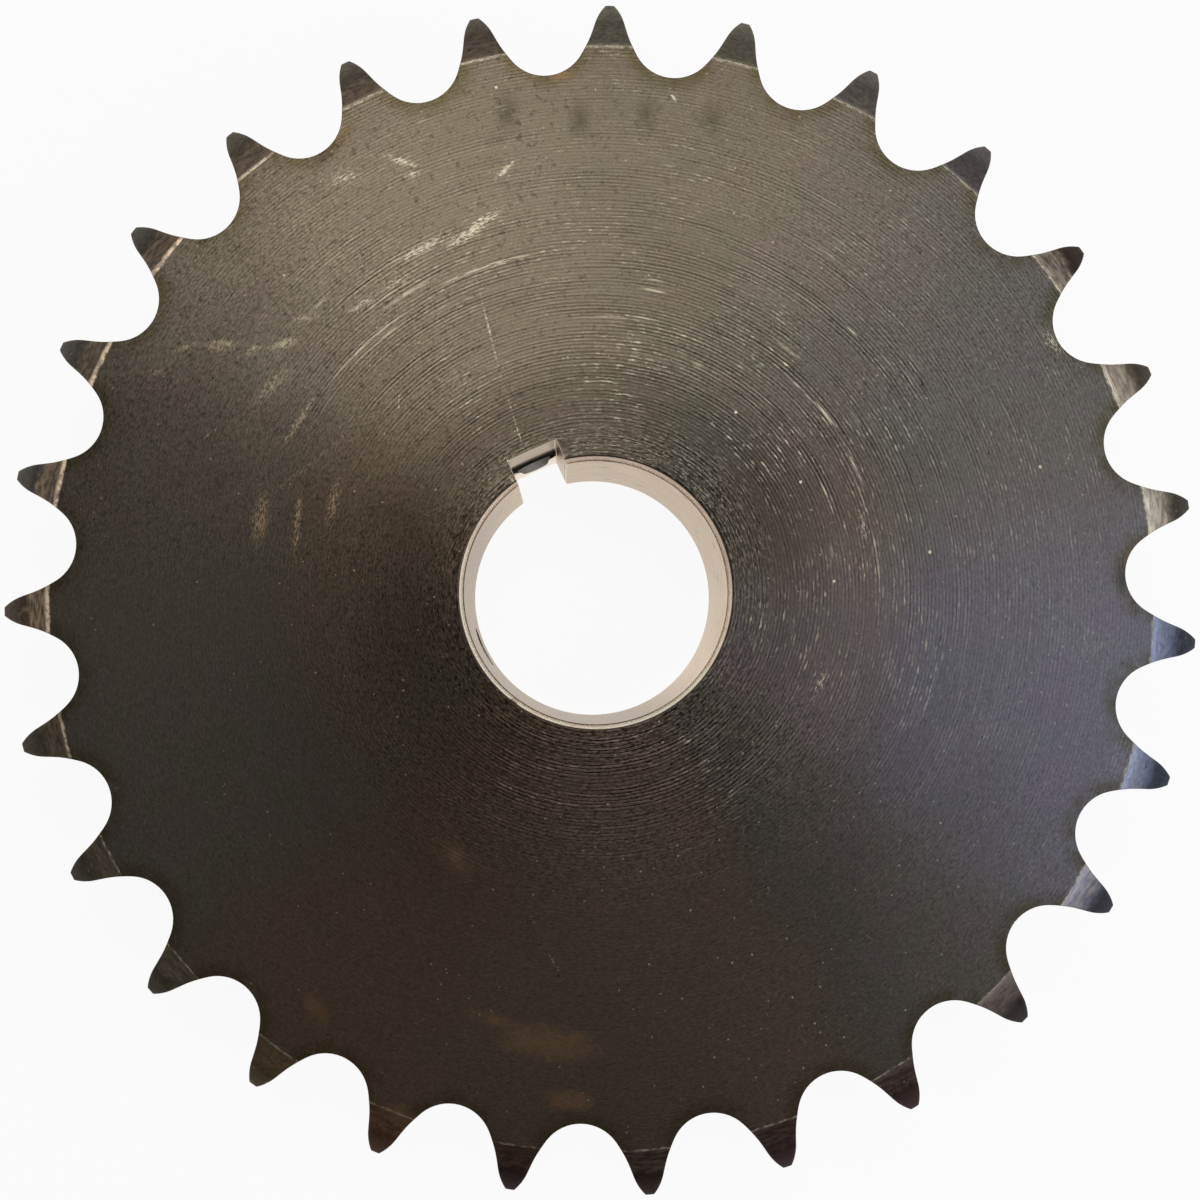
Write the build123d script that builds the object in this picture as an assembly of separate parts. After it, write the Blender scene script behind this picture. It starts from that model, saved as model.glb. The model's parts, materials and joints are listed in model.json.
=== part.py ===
"""Finished-bore chain sprocket, hub on one side, with its two set screws.

One steel blank is turned to a toothed plate and a round hub, bored through and broached for a
key. Two cup-point set screws sit in tapped holes in the hub, one over the key and one a quarter
turn from it. The tooth spaces follow the American standard tooth form for roller chain.

Millimetres, +Z up. The sprocket lies on the end of its hub: the origin is on the bore's axis in
the hub's end face, and the flat toothed face looks up. The keyway is at +Y.
"""

from build123d import *
import math
import os

# Chain that runs on the teeth: 5/8 inch pitch, single strand
PITCH = 15.875
ROLLER_D = 10.16
TEETH = 27
SEAT_ALLOWANCE = 0.0762  # the standard's 0.003 in, added to the diameter of a roller's seat

# Toothed plate
PLATE_THICKNESS = 8.71
CHAMFER_START = 6.2      # radially, from the tooth tips in to where the side chamfer begins
CHAMFER_DEPTH = 3.1      # axially, at the tooth tips
CHAMFER_RADIUS = 16.9    # of the rounded chamfer in section

# Hub and bore
LENGTH = 28.575          # through the bore, plate included
HUB_D = 76.2
HUB_CHAMFER = 1.2
HUB_FILLET = 1.6         # in the corner where the hub meets the plate
BORE_D = 31.75
BORE_CHAMFER = 0.7

# Keyway for a square key
KEY_SIZE = 6.35
KEY_TOP_CLEARANCE = 0.127
KEYWAY_CORNER_RADIUS = 0.3
TOOTH_FROM_KEYWAY_DEG = 1.1   # nearest tooth's centre line, anticlockwise of the keyway

# Set screws, 1/4-20: screw and hole are modelled at the thread's pitch diameter, without thread
THREAD_PITCH_D = 5.52
SCREW_CLEARANCE = 0.03        # radially, between a screw and its hole
SCREW_LENGTH = 12.7
SCREW_END_CHAMFER = 0.5
CUP_RIM_D = 3.2
CUP_ANGLE_DEG = 118.0
SOCKET_ACROSS_FLATS = 3.175
SOCKET_DEPTH = 3.2
HOLE_MOUTH_D = 7.0            # countersunk mouth of a tapped hole in the hub's outside
KEY_SCREW_PROUD = 0.6         # cup point below the keyway's roof
SIDE_SCREW_SUNK = 1.0         # cup point short of the bore's wall

OVERCUT = 1.0                 # how far a cutting tool runs past what it cuts

# Worked out from the sizes above
HALF_TOOTH_ANGLE = math.pi / TEETH
PITCH_CIRCLE_R = PITCH / math.sin(HALF_TOOTH_ANGLE) / 2
OUTSIDE_R = PITCH * (0.6 + 1 / math.tan(HALF_TOOTH_ANGLE)) / 2
HUB_R = HUB_D / 2
BORE_R = BORE_D / 2
PLATE_BACK_Z = LENGTH - PLATE_THICKNESS
SCREW_Z = PLATE_BACK_Z / 2
KEYWAY_ROOF_Y = KEY_SIZE / 2 + math.sqrt(BORE_D**2 - KEY_SIZE**2) / 2 + KEY_TOP_CLEARANCE
SCREW_R = THREAD_PITCH_D / 2
HOLE_R = SCREW_R + SCREW_CLEARANCE


def polar(centre, radius, angle):
    """The point at this radius and angle (radians, anticlockwise from +X) from a centre."""
    return (centre[0] + radius * math.cos(angle), centre[1] + radius * math.sin(angle))


def turned(point, angle):
    """A point turned anticlockwise about the origin."""
    x, y = point
    return (x * math.cos(angle) - y * math.sin(angle), x * math.sin(angle) + y * math.cos(angle))


def arc_middle(centre, radius, start, end):
    """The point halfway along the short arc between two points on a circle."""
    towards = ((start[0] + end[0]) / 2 - centre[0], (start[1] + end[1]) / 2 - centre[1])
    return polar(centre, radius, math.atan2(towards[1], towards[0]))


def tooth_tip(centre, radius):
    """Where the topping curve, an arc about centre, ends beside the space centred on +Y.

    It ends on the outside circle, or on the tooth's centre line if the tooth is pointed.
    """
    distance = math.hypot(*centre)
    turn = math.acos((distance**2 + OUTSIDE_R**2 - radius**2) / (2 * distance * OUTSIDE_R))
    on_outside = polar((0, 0), OUTSIDE_R, math.atan2(centre[1], centre[0]) + turn)
    if math.atan2(on_outside[0], on_outside[1]) < HALF_TOOTH_ANGLE:
        return on_outside
    line_angle = math.pi / 2 - HALF_TOOTH_ANGLE
    along = centre[0] * math.cos(line_angle) + centre[1] * math.sin(line_angle)
    across = centre[0] * math.sin(line_angle) - centre[1] * math.cos(line_angle)
    return polar((0, 0), along + math.sqrt(radius**2 - across**2), line_angle)


def tooth_space():
    """The right half of the space centred on +Y, as (start, middle, end) of each curve.

    The standard form: a seating curve that holds the roller, a working curve, a short straight,
    and a topping curve out to the tip. Its factors and angles are the standard's own.
    """
    seat_r = (1.005 * ROLLER_D + SEAT_ALLOWANCE) / 2
    seat_angle = math.radians(35 + 60 / TEETH)
    work_angle = math.radians(18 - 56 / TEETH)
    top_angle = math.radians(17 - 64 / TEETH)
    work_r = 1.3025 * ROLLER_D + SEAT_ALLOWANCE / 2
    work_reach = 0.8 * ROLLER_D
    top_reach = 1.4 * ROLLER_D
    top_r = work_reach * math.cos(work_angle) + top_reach * math.cos(top_angle) - work_r
    straight = top_reach * math.sin(top_angle) - work_reach * math.sin(work_angle)

    seat_centre = (0, PITCH_CIRCLE_R)
    work_centre = (
        -work_reach * math.cos(seat_angle),
        PITCH_CIRCLE_R + work_reach * math.sin(seat_angle),
    )
    top_centre = (
        top_reach * math.cos(HALF_TOOTH_ANGLE),
        PITCH_CIRCLE_R - top_reach * math.sin(HALF_TOOTH_ANGLE),
    )
    bottom = (0, PITCH_CIRCLE_R - seat_r)
    seat_end = polar(seat_centre, seat_r, -seat_angle)
    work_end = polar(work_centre, work_r, work_angle - seat_angle)
    top_start = polar(work_end, straight, math.pi / 2 + work_angle - seat_angle)
    tip = tooth_tip(top_centre, top_r)
    return [
        (bottom, arc_middle(seat_centre, seat_r, bottom, seat_end), seat_end),
        (seat_end, arc_middle(work_centre, work_r, seat_end, work_end), work_end),
        (work_end, None, top_start),
        (top_start, arc_middle(top_centre, top_r, top_start, tip), tip),
    ]


def curve(start, middle, end):
    """A straight edge, or an arc where a middle point is given."""
    if middle is None:
        return Line(start, end)
    return ThreePointArc(start, middle, end)


def tooth_outline():
    """The closed outline of all the teeth, seen along the axis."""
    half = tooth_space()
    tip = half[-1][2]
    land_angle = HALF_TOOTH_ANGLE - math.atan2(tip[0], tip[1])
    first_space = math.radians(TOOTH_FROM_KEYWAY_DEG) + HALF_TOOTH_ANGLE
    edges = []
    for number in range(TEETH):
        angle = first_space + 2 * HALF_TOOTH_ANGLE * number
        for points in half:
            right = [point and turned(point, angle) for point in points]
            left = [point and turned((-point[0], point[1]), angle) for point in points]
            edges += [curve(*right), curve(*left)]
        if land_angle > 1e-6:
            corner = turned((-tip[0], tip[1]), angle)
            next_corner = turned(tip, angle + 2 * HALF_TOOTH_ANGLE)
            middle = arc_middle((0, 0), OUTSIDE_R, corner, next_corner)
            edges.append(curve(corner, middle, next_corner))
    return make_face(edges)


def chamfer_curve():
    """Centre of the tooth chamfer's arc: (radius from the axis, depth below the plate's face)."""
    start = (OUTSIDE_R - CHAMFER_START, 0)
    end = (OUTSIDE_R, CHAMFER_DEPTH)
    chord = math.dist(start, end)
    rise = math.sqrt(CHAMFER_RADIUS**2 - chord**2 / 4) / chord
    return (
        (start[0] + end[0]) / 2 - (end[1] - start[1]) * rise,
        (start[1] + end[1]) / 2 + (end[0] - start[0]) * rise,
    )


def turned_section():
    """Half section of the blank in the XZ plane: bore, plate with chamfered rim, and hub."""
    centre_r, centre_depth = chamfer_curve()
    start_r = OUTSIDE_R - CHAMFER_START
    past_r = OUTSIDE_R + OVERCUT / 2
    middle_r = (start_r + past_r) / 2

    def depth(radius):
        return centre_depth - math.sqrt(CHAMFER_RADIUS**2 - (radius - centre_r) ** 2)

    def front(radius):
        return (radius, LENGTH - depth(radius))

    def back(radius):
        return (radius, PLATE_BACK_Z + depth(radius))

    fillet_centre = (HUB_R + HUB_FILLET, PLATE_BACK_Z - HUB_FILLET)
    corners = [
        (HUB_R, PLATE_BACK_Z - HUB_FILLET),
        (HUB_R, HUB_CHAMFER),
        (HUB_R - HUB_CHAMFER, 0),
        (BORE_R + BORE_CHAMFER, 0),
        (BORE_R, BORE_CHAMFER),
        (BORE_R, LENGTH - BORE_CHAMFER),
        (BORE_R + BORE_CHAMFER, LENGTH),
        (start_r, LENGTH),
    ]
    section = [Line(a, b) for a, b in zip(corners, corners[1:])]
    section += [
        ThreePointArc(front(start_r), front(middle_r), front(past_r)),
        Line(front(past_r), back(past_r)),
        ThreePointArc(back(past_r), back(middle_r), back(start_r)),
        Line(back(start_r), (HUB_R + HUB_FILLET, PLATE_BACK_Z)),
        ThreePointArc(
            (HUB_R + HUB_FILLET, PLATE_BACK_Z),
            polar(fillet_centre, HUB_FILLET, math.radians(135)),
            (HUB_R, PLATE_BACK_Z - HUB_FILLET),
        ),
    ]
    return Plane.XZ * make_face(section)


def keyway_cutter():
    """The broached slot, open to the bore and to both ends, with small corner radii."""
    slot = Pos(0, KEYWAY_ROOF_Y / 2) * Rectangle(KEY_SIZE, KEYWAY_ROOF_Y)
    slot = fillet(slot.vertices().group_by(Axis.Y)[-1], KEYWAY_CORNER_RADIUS)
    return Pos(0, 0, -OVERCUT) * extrude(slot, LENGTH + 2 * OVERCUT)


def radial_place(direction, radius):
    """Local Z along a radial direction, at the set screws' height and this radius."""
    outward = Vector(*direction)
    return Plane(origin=outward * radius + Vector(0, 0, SCREW_Z), z_dir=outward)


def screw_hole_cutter(direction):
    """A tapped hole from the bore out through the hub, countersunk where it comes out."""
    mouth_r = HOLE_MOUTH_D / 2
    mouth_depth = mouth_r - HOLE_R
    hole = radial_place(direction, 0) * extrude(Circle(HOLE_R), HUB_R + OVERCUT)
    on_base = (Align.CENTER, Align.CENTER, Align.MIN)
    sink = Cone(HOLE_R, mouth_r + OVERCUT, mouth_depth + OVERCUT, align=on_base)
    return hole + radial_place(direction, HUB_R - mouth_depth) * sink


def make_sprocket():
    """The one-piece body: toothed plate, hub, bore, keyway and tapped holes."""
    teeth = Pos(0, 0, -OVERCUT) * extrude(tooth_outline(), LENGTH + 2 * OVERCUT)
    body = revolve(turned_section(), Axis.Z) & teeth
    body -= keyway_cutter()
    for direction in (KEY_SCREW_DIRECTION, SIDE_SCREW_DIRECTION):
        body -= screw_hole_cutter(direction)
    return body


def make_set_screw():
    """A socket set screw along +Z, its cup point's rim at the origin and its socket on top."""
    rim_r = CUP_RIM_D / 2
    corners = [
        (0, rim_r / math.tan(math.radians(CUP_ANGLE_DEG / 2))),
        (rim_r, 0),
        (SCREW_R, SCREW_R - rim_r),
        (SCREW_R, SCREW_LENGTH - SCREW_END_CHAMFER),
        (SCREW_R - SCREW_END_CHAMFER, SCREW_LENGTH),
        (0, SCREW_LENGTH),
    ]
    profile = Plane.XZ * make_face(Polyline(*corners, close=True))
    hexagon = RegularPolygon(SOCKET_ACROSS_FLATS / 2, 6, major_radius=False)
    socket = Pos(0, 0, SCREW_LENGTH - SOCKET_DEPTH) * extrude(hexagon, SOCKET_DEPTH + OVERCUT)
    return revolve(profile, Axis.Z) - socket


def write_part(name, solid):
    """Writes one node's STEP file and says what it holds."""
    export_step(solid, f"parts/{name}.step")
    size = solid.bounding_box().size
    print(f"{name}: {solid.volume:.0f} mm3, {size.X:.2f} x {size.Y:.2f} x {size.Z:.2f} mm")


KEY_SCREW_DIRECTION = (0, 1, 0)
SIDE_SCREW_DIRECTION = (-1, 0, 0)

os.makedirs("parts", exist_ok=True)
screw = make_set_screw()
key_screw_tip_r = KEYWAY_ROOF_Y - KEY_SCREW_PROUD
side_screw_tip_r = BORE_R + SIDE_SCREW_SUNK
write_part("sprocket", make_sprocket())
write_part("keyway_set_screw", radial_place(KEY_SCREW_DIRECTION, key_screw_tip_r) * screw)
write_part("side_set_screw", radial_place(SIDE_SCREW_DIRECTION, side_screw_tip_r) * screw)
print(f"pitch circle {2 * PITCH_CIRCLE_R:.3f} mm, outside {2 * OUTSIDE_R:.3f} mm, {TEETH} teeth")
print(f"keyway roof {KEYWAY_ROOF_Y:.3f} mm from the axis, set screws {SCREW_Z:.3f} mm above the hub's end")
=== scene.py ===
# %% [markdown]
# # A roller-chain sprocket
# This lesson dresses a finished CAD model of a 27-tooth chain sprocket. The real one starts as a
# slice of steel bar. A lathe turns the plate and the hub, a hob cuts the teeth, the whole wheel is
# blackened in a hot salt bath, and only then is it bored, broached for a key and tapped for two
# set screws, so those last cuts stay bright. The cells follow the same order, because each cut
# leaves its own kind of surface, and a surface is easiest to get right when you know which tool
# left it.
#
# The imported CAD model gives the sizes. Everything below works in millimetres while it models and
# turns to metres once, when a piece is finished.

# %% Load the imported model
import bmesh
import bpy
import json
import math
from mathutils import Matrix, Vector


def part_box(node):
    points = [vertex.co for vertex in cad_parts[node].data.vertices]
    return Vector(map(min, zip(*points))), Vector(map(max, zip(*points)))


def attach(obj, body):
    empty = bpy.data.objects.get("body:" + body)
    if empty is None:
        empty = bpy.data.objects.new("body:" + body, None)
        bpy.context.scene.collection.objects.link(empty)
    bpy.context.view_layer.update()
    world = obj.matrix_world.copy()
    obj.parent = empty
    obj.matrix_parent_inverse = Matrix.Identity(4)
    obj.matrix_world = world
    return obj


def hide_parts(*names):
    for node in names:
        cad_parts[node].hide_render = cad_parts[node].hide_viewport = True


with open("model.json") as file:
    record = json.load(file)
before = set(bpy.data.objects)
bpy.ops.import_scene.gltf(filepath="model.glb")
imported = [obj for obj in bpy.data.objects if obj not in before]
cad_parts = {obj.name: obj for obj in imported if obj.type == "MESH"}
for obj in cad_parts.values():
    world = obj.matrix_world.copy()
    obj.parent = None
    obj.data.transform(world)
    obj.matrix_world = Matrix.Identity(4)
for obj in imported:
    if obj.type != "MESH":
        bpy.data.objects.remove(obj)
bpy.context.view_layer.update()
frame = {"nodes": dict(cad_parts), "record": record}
print("CAD nodes:", ", ".join(sorted(frame["nodes"])))

# %% [markdown]
# ## Sizes
# A chain wheel is fixed by the chain: its pitch and roller and the number of teeth give the pitch
# circle, and the standard tooth form gives everything from root to tip. The record of the packed
# model already holds the pitch circle, the tooth count, the bore and the place of the keyway, so
# they are read from it, and only sizes that it doesn't hold are typed here.

# %% Sizes in millimetres
MM = 0.001
mounts = {mount["name"]: mount for mount in frame["record"]["mounts"]}
TEETH = mounts["chain_pitch_circle"]["dims"]["count"]
PITCH_CIRCLE_R = mounts["chain_pitch_circle"]["dims"]["pcd_mm"] / 2
BORE_R = mounts["bore"]["dims"]["r_mm"]
KEYWAY_ROOF = mounts["keyway"]["pos_m"][1] / MM
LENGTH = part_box("sprocket")[1].z / MM

HALF_TOOTH = math.pi / TEETH
PITCH = 2 * PITCH_CIRCLE_R * math.sin(HALF_TOOTH)
OUTSIDE_R = PITCH * (0.6 + 1 / math.tan(HALF_TOOTH)) / 2
ROLLER_D = 10.16
SEAT_ALLOWANCE = 0.0762
TOOTH_FROM_KEYWAY = math.radians(1.1)

PLATE_THICKNESS = 8.71
PLATE_BACK = LENGTH - PLATE_THICKNESS
PLATE_MIDDLE = LENGTH - PLATE_THICKNESS / 2
HUB_R = 38.1
HUB_CHAMFER = 1.2
HUB_FILLET = 1.6
BORE_CHAMFER = 0.7
KEY_WIDTH = 6.35
print(f"{TEETH} teeth, chain pitch {PITCH:.3f} mm, {2 * OUTSIDE_R:.2f} mm over the tips")

# %% [markdown]
# ## Camera
# The camera looks almost straight down on the toothed face from 21 cm away, near enough for the
# bore to show its own wall all round. It stands a little to one side of the axis, and a small
# shift frames the wheel without tilting it further.

# %% Place the camera
CAMERA_PLACE = Vector((-5.87, -3.63, 240.05))
CAMERA_TURN_DEG = (2.34, 1.56, -24.01)
CAMERA_LENS = 52.73
CAMERA_SHIFT = (0.0706, -0.0268)
NEAREST_SEEN = 10 * MM
camera_data = bpy.data.cameras.new("camera")
camera_data.lens = CAMERA_LENS
camera_data.shift_x, camera_data.shift_y = CAMERA_SHIFT
camera_data.clip_start = NEAREST_SEEN
camera = bpy.data.objects.new("camera", camera_data)
camera.location = CAMERA_PLACE * MM
camera.rotation_euler = [math.radians(angle) for angle in CAMERA_TURN_DEG]
bpy.context.scene.collection.objects.link(camera)
bpy.context.scene.camera = camera

# %% [markdown]
# ## Helpers for a bmesh in millimetres
# Blender's units are metres, and a tooth chamfer of 0.003 is hard to read. So each piece is built
# in millimetres and scaled once in its mesh at the end, which leaves the object itself at the
# origin, unturned and unscaled.

# %% Mesh helpers
MERGE_REACH = 1e-4
HAIR = 1e-5
ORIGIN = (0, 0, 0)
AXIS = (0, 0, 1)


def finish_mesh(bm, name):
    """Turns a bmesh in millimetres into an object in metres, with its faces pointing out."""
    bmesh.ops.recalc_face_normals(bm, faces=bm.faces)
    bmesh.ops.scale(bm, vec=(MM, MM, MM), verts=bm.verts)
    mesh = bpy.data.meshes.new(name)
    bm.to_mesh(mesh)
    bm.free()
    piece = bpy.data.objects.new(name, mesh)
    bpy.context.scene.collection.objects.link(piece)
    return piece


def apply_boolean(piece, tool, operation):
    """Cuts, joins or intersects a piece with a tool object, and throws the tool away."""
    modifier = piece.modifiers.new(operation, "BOOLEAN")
    modifier.operation = operation
    modifier.object = tool
    modifier.solver = "EXACT"
    modifier.material_mode = "TRANSFER"
    shaped = piece.evaluated_get(bpy.context.evaluated_depsgraph_get())
    mesh = bpy.data.meshes.new_from_object(shaped)
    piece.modifiers.clear()
    old = piece.data
    piece.data = mesh
    mesh.name = piece.name
    bpy.data.meshes.remove(old)
    bpy.data.objects.remove(tool)


def at_polar(radius, angle, height=0.0):
    """The point at a radius and an angle measured anticlockwise from +Y."""
    return Vector((-radius * math.sin(angle), radius * math.cos(angle), height))


def everything(bm):
    """All points, edges and faces, as bmesh operators want them."""
    return bm.verts[:] + bm.edges[:] + bm.faces[:]


def only(kind, items):
    """The items of one kind: an operator returns points, edges and faces together."""
    return [item for item in items if isinstance(item, kind)]


def draw_section(section):
    """A new bmesh with a chain of edges through points given by radius and height."""
    bm = bmesh.new()
    points = [bm.verts.new((radius, 0, height)) for radius, height in section]
    for pair in zip(points, points[1:]):
        bm.edges.new(pair)
    return bm


def merge_near(bm):
    """Merges points that lie on each other."""
    bmesh.ops.remove_doubles(bm, verts=bm.verts, dist=MERGE_REACH)


def open_edges(bm):
    """How many edges don't join exactly two faces; a closed solid has none."""
    return sum(not e.is_manifold for e in bm.edges)


# %% [markdown]
# ## Half a tooth
# The space between two teeth is drawn by the standard: a seating curve that holds the roller, a
# working curve that lets it roll out, a short straight and a topping curve up to the tip. Each is
# an arc, so the outline needs no list of points: one vertex is spun round the centre of each arc
# in turn. Where an arc has to end at a certain radius of the wheel, the law of cosines gives how
# far to spin.

# %% Spin a vertex along the tooth form
CHAMFER_START_R = OUTSIDE_R - 6.2
CHAMFER_DEPTH = 3.1
CHAMFER_CURVE_R = 16.9
SEAT_STEPS, WORK_STEPS, TOP_STEPS = 8, (2, 3), 7

seat_angle = math.radians(35 + 60 / TEETH)
work_angle = math.radians(18 - 56 / TEETH)
top_angle = math.radians(17 - 64 / TEETH)
seat_r = (1.005 * ROLLER_D + SEAT_ALLOWANCE) / 2
work_r = 1.3025 * ROLLER_D + SEAT_ALLOWANCE / 2
work_reach = 0.8 * ROLLER_D
top_reach = 1.4 * ROLLER_D
straight = top_reach * math.sin(top_angle) - work_reach * math.sin(work_angle)

seat_centre = Vector((0, PITCH_CIRCLE_R, 0))
space_bottom = seat_centre - Vector((0, seat_r, 0))
work_centre = seat_centre + work_reach * Vector((-math.cos(seat_angle), math.sin(seat_angle), 0))
top_centre = seat_centre + top_reach * Vector((math.cos(HALF_TOOTH), -math.sin(HALF_TOOTH), 0))


def corner_at_centre(centre, arc_r, wheel_r):
    """Angle at an arc's centre between the wheel's axis and the arc's point at wheel_r."""
    reach = centre.length
    return math.acos((reach**2 + arc_r**2 - wheel_r**2) / (2 * reach * arc_r))


def spin_vertex(bm, vertex, centre, angle, steps):
    """Extrudes a vertex round a centre by an angle and returns the last vertex."""
    made = bmesh.ops.spin(bm, geom=[vertex], cent=centre, axis=AXIS, angle=angle, steps=steps)
    return only(bmesh.types.BMVert, made["geom_last"])[0]


def draw_half_space(bm):
    """One side of a tooth space from its bottom to the tip, as a chain of edges."""
    start = bm.verts.new(space_bottom)
    seat_end = spin_vertex(bm, start, seat_centre, math.pi / 2 - seat_angle, SEAT_STEPS)
    to_chamfer = (corner_at_centre(work_centre, work_r, CHAMFER_START_R)
                  - corner_at_centre(work_centre, work_r, seat_end.co.length))
    lower, upper = WORK_STEPS
    chamfer_corner = spin_vertex(bm, seat_end, work_centre, to_chamfer, lower)
    work_end = spin_vertex(bm, chamfer_corner, work_centre, work_angle - to_chamfer, upper)
    top_start = bmesh.ops.extrude_vert_indiv(bm, verts=[work_end])["verts"][0]
    slope = math.pi / 2 + work_angle - seat_angle
    top_start.co += straight * Vector((math.cos(slope), math.sin(slope), 0))
    top_r = (top_start.co - top_centre).length
    to_tip = (corner_at_centre(top_centre, top_r, OUTSIDE_R)
              - corner_at_centre(top_centre, top_r, top_start.co.length))
    spin_vertex(bm, top_start, top_centre, -to_tip, TOP_STEPS)


# %% [markdown]
# ## From half a tooth to a toothed rim
# The side of a tooth is carried over to the tooth's middle line, which gives a narrow grid for the
# chamfered tip, and the flat rest of the half pitch is closed with one face down to a plain ring.
# Mirrored once it is a whole pitch, and a spin that duplicates lays the 27 pitches round the
# wheel. A boolean with 27 cutters would give the same outline, but long random triangles in the
# chamfers, which shade badly.

# %% Fill one half pitch
RING_R = 60.0
ARC_STEPS = 4
CHAMFER_COLUMNS = 2


def vertex_at(bm, place):
    """The vertex nearest to a point."""
    return min(bm.verts, key=lambda vertex: (vertex.co - place).length)


def fill_half_pitch(bm):
    """Faces between the outline, the tooth's middle line and the plain ring inside the teeth."""
    middle_line = Vector((math.sin(HALF_TOOTH), math.cos(HALF_TOOTH), 0))
    reach = CHAMFER_START_R - 1e-4
    flank = [e for e in bm.edges if all(v.co.length > reach for v in e.verts)]
    made = bmesh.ops.extrude_edge_only(bm, edges=flank)["geom"]
    on_middle = only(bmesh.types.BMVert, made)
    for vertex in on_middle:
        vertex.co = vertex.co.length * middle_line
    across = [e for e in bm.edges if (e.verts[0] in on_middle) != (e.verts[1] in on_middle)]
    bmesh.ops.subdivide_edges(bm, edges=across, cuts=CHAMFER_COLUMNS, use_grid_fill=True)
    ring_start = bm.verts.new((0, RING_R, 0))
    ring_end = spin_vertex(bm, ring_start, ORIGIN, -HALF_TOOTH, ARC_STEPS)
    bm.edges.new((ring_start, vertex_at(bm, space_bottom)))
    bm.edges.new((ring_end, vertex_at(bm, CHAMFER_START_R * middle_line)))
    border = [e for e in bm.edges if not e.link_faces or (
        len(e.link_faces) == 1 and all(abs(v.co.length - CHAMFER_START_R) < 0.02 for v in e.verts))]
    bmesh.ops.contextual_create(bm, geom=border)


# %% Lay the pitches round the wheel and give the plate its thickness
chamfer_chord = math.hypot(OUTSIDE_R - CHAMFER_START_R, CHAMFER_DEPTH)
chamfer_rise = math.sqrt(CHAMFER_CURVE_R**2 - chamfer_chord**2 / 4) / chamfer_chord
CHAMFER_CENTRE_R = (CHAMFER_START_R + OUTSIDE_R) / 2 - CHAMFER_DEPTH * chamfer_rise
CHAMFER_CENTRE_DEPTH = CHAMFER_DEPTH / 2 + (OUTSIDE_R - CHAMFER_START_R) * chamfer_rise


def chamfer_depth(radius):
    """How far the turned tooth chamfer lies below the plate's face at a radius."""
    drop = math.sqrt(CHAMFER_CURVE_R**2 - (radius - CHAMFER_CENTRE_R) ** 2)
    return max(0.0, CHAMFER_CENTRE_DEPTH - drop) if radius > CHAMFER_START_R else 0.0


def toothed_rim():
    """The toothed plate from the plain ring outwards, both faces and the tooth flanks."""
    bm = bmesh.new()
    draw_half_space(bm)
    fill_half_pitch(bm)
    bmesh.ops.mirror(bm, geom=everything(bm), merge_dist=HAIR, axis="X")
    turn = Matrix.Rotation(TOOTH_FROM_KEYWAY + HALF_TOOTH, 3, "Z")
    bmesh.ops.rotate(bm, verts=bm.verts, cent=ORIGIN, matrix=turn)
    bmesh.ops.spin(bm, geom=everything(bm), cent=ORIGIN, axis=AXIS, use_duplicate=True,
                   angle=2 * HALF_TOOTH * (TEETH - 1), steps=TEETH - 1)
    merge_near(bm)
    for vertex in bm.verts:
        vertex.co.z = PLATE_THICKNESS / 2 - chamfer_depth(vertex.co.length)
    outline = [e for e in bm.edges if e.is_boundary and e.verts[0].co.xy.length > RING_R + 1]
    made = bmesh.ops.extrude_edge_only(bm, edges=outline)["geom"]
    for vertex in only(bmesh.types.BMVert, made):
        vertex.co.z = 0
    bmesh.ops.mirror(bm, geom=everything(bm), merge_dist=HAIR, axis="Z")
    bmesh.ops.translate(bm, vec=(0, 0, PLATE_MIDDLE), verts=bm.verts)
    return bm


# %% [markdown]
# ## Turning the rest of the blank
# Inside the teeth the wheel is a turned shape. A lathe works ring by ring, and so does this cell:
# the open ring of edges is extruded, scaled to the next radius and moved to the next height, over
# the face, down the bore, out across the hub's end and back to the plate. Spinning a drawn profile
# would make the same surface, but its columns would then have to be matched to those of the teeth.

# %% Carry the ring round the section
FILLET_STEPS = 5
BORE_STEPS = 6
FACE_RING_R = 24.0


def ring_at(bm, radius, height):
    """The open edges that lie on one circle."""
    def on_circle(vertex):
        return (abs(vertex.co.xy.length - radius) < 0.01) and (abs(vertex.co.z - height) < 0.01)
    return [e for e in bm.edges if e.is_boundary and all(on_circle(v) for v in e.verts)]


def carry_ring(bm, ring, radius, height):
    """Extrudes an open ring to another radius and height and returns the new ring."""
    made = bmesh.ops.extrude_edge_only(bm, edges=ring)["geom"]
    verts = only(bmesh.types.BMVert, made)
    shrink = radius / verts[0].co.xy.length
    bmesh.ops.scale(bm, vec=(shrink, shrink, 1), verts=verts)
    bmesh.ops.translate(bm, vec=(0, 0, height - verts[0].co.z), verts=verts)
    return only(bmesh.types.BMEdge, made)


def section_stops():
    """Radius and height of each ring from the toothed face, through the bore, to the plate's back."""
    stops = [(FACE_RING_R, LENGTH), (BORE_R + BORE_CHAMFER, LENGTH)]
    for step in range(BORE_STEPS + 1):
        height = LENGTH - BORE_CHAMFER - (LENGTH - 2 * BORE_CHAMFER) * step / BORE_STEPS
        stops.append((BORE_R, height))
    stops += [(BORE_R + BORE_CHAMFER, 0), (FACE_RING_R, 0)]
    stops += [(HUB_R - HUB_CHAMFER, 0), (HUB_R, HUB_CHAMFER)]
    stops += [(HUB_R, PLATE_BACK * share) for share in (0.25, 0.5, 0.75)]
    for step in range(FILLET_STEPS + 1):
        angle = math.pi / 2 * step / FILLET_STEPS
        stops.append((HUB_R + HUB_FILLET * (1 - math.cos(angle)),
                      PLATE_BACK - HUB_FILLET * (1 - math.sin(angle))))
    return stops + [(RING_R, PLATE_BACK)]


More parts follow.
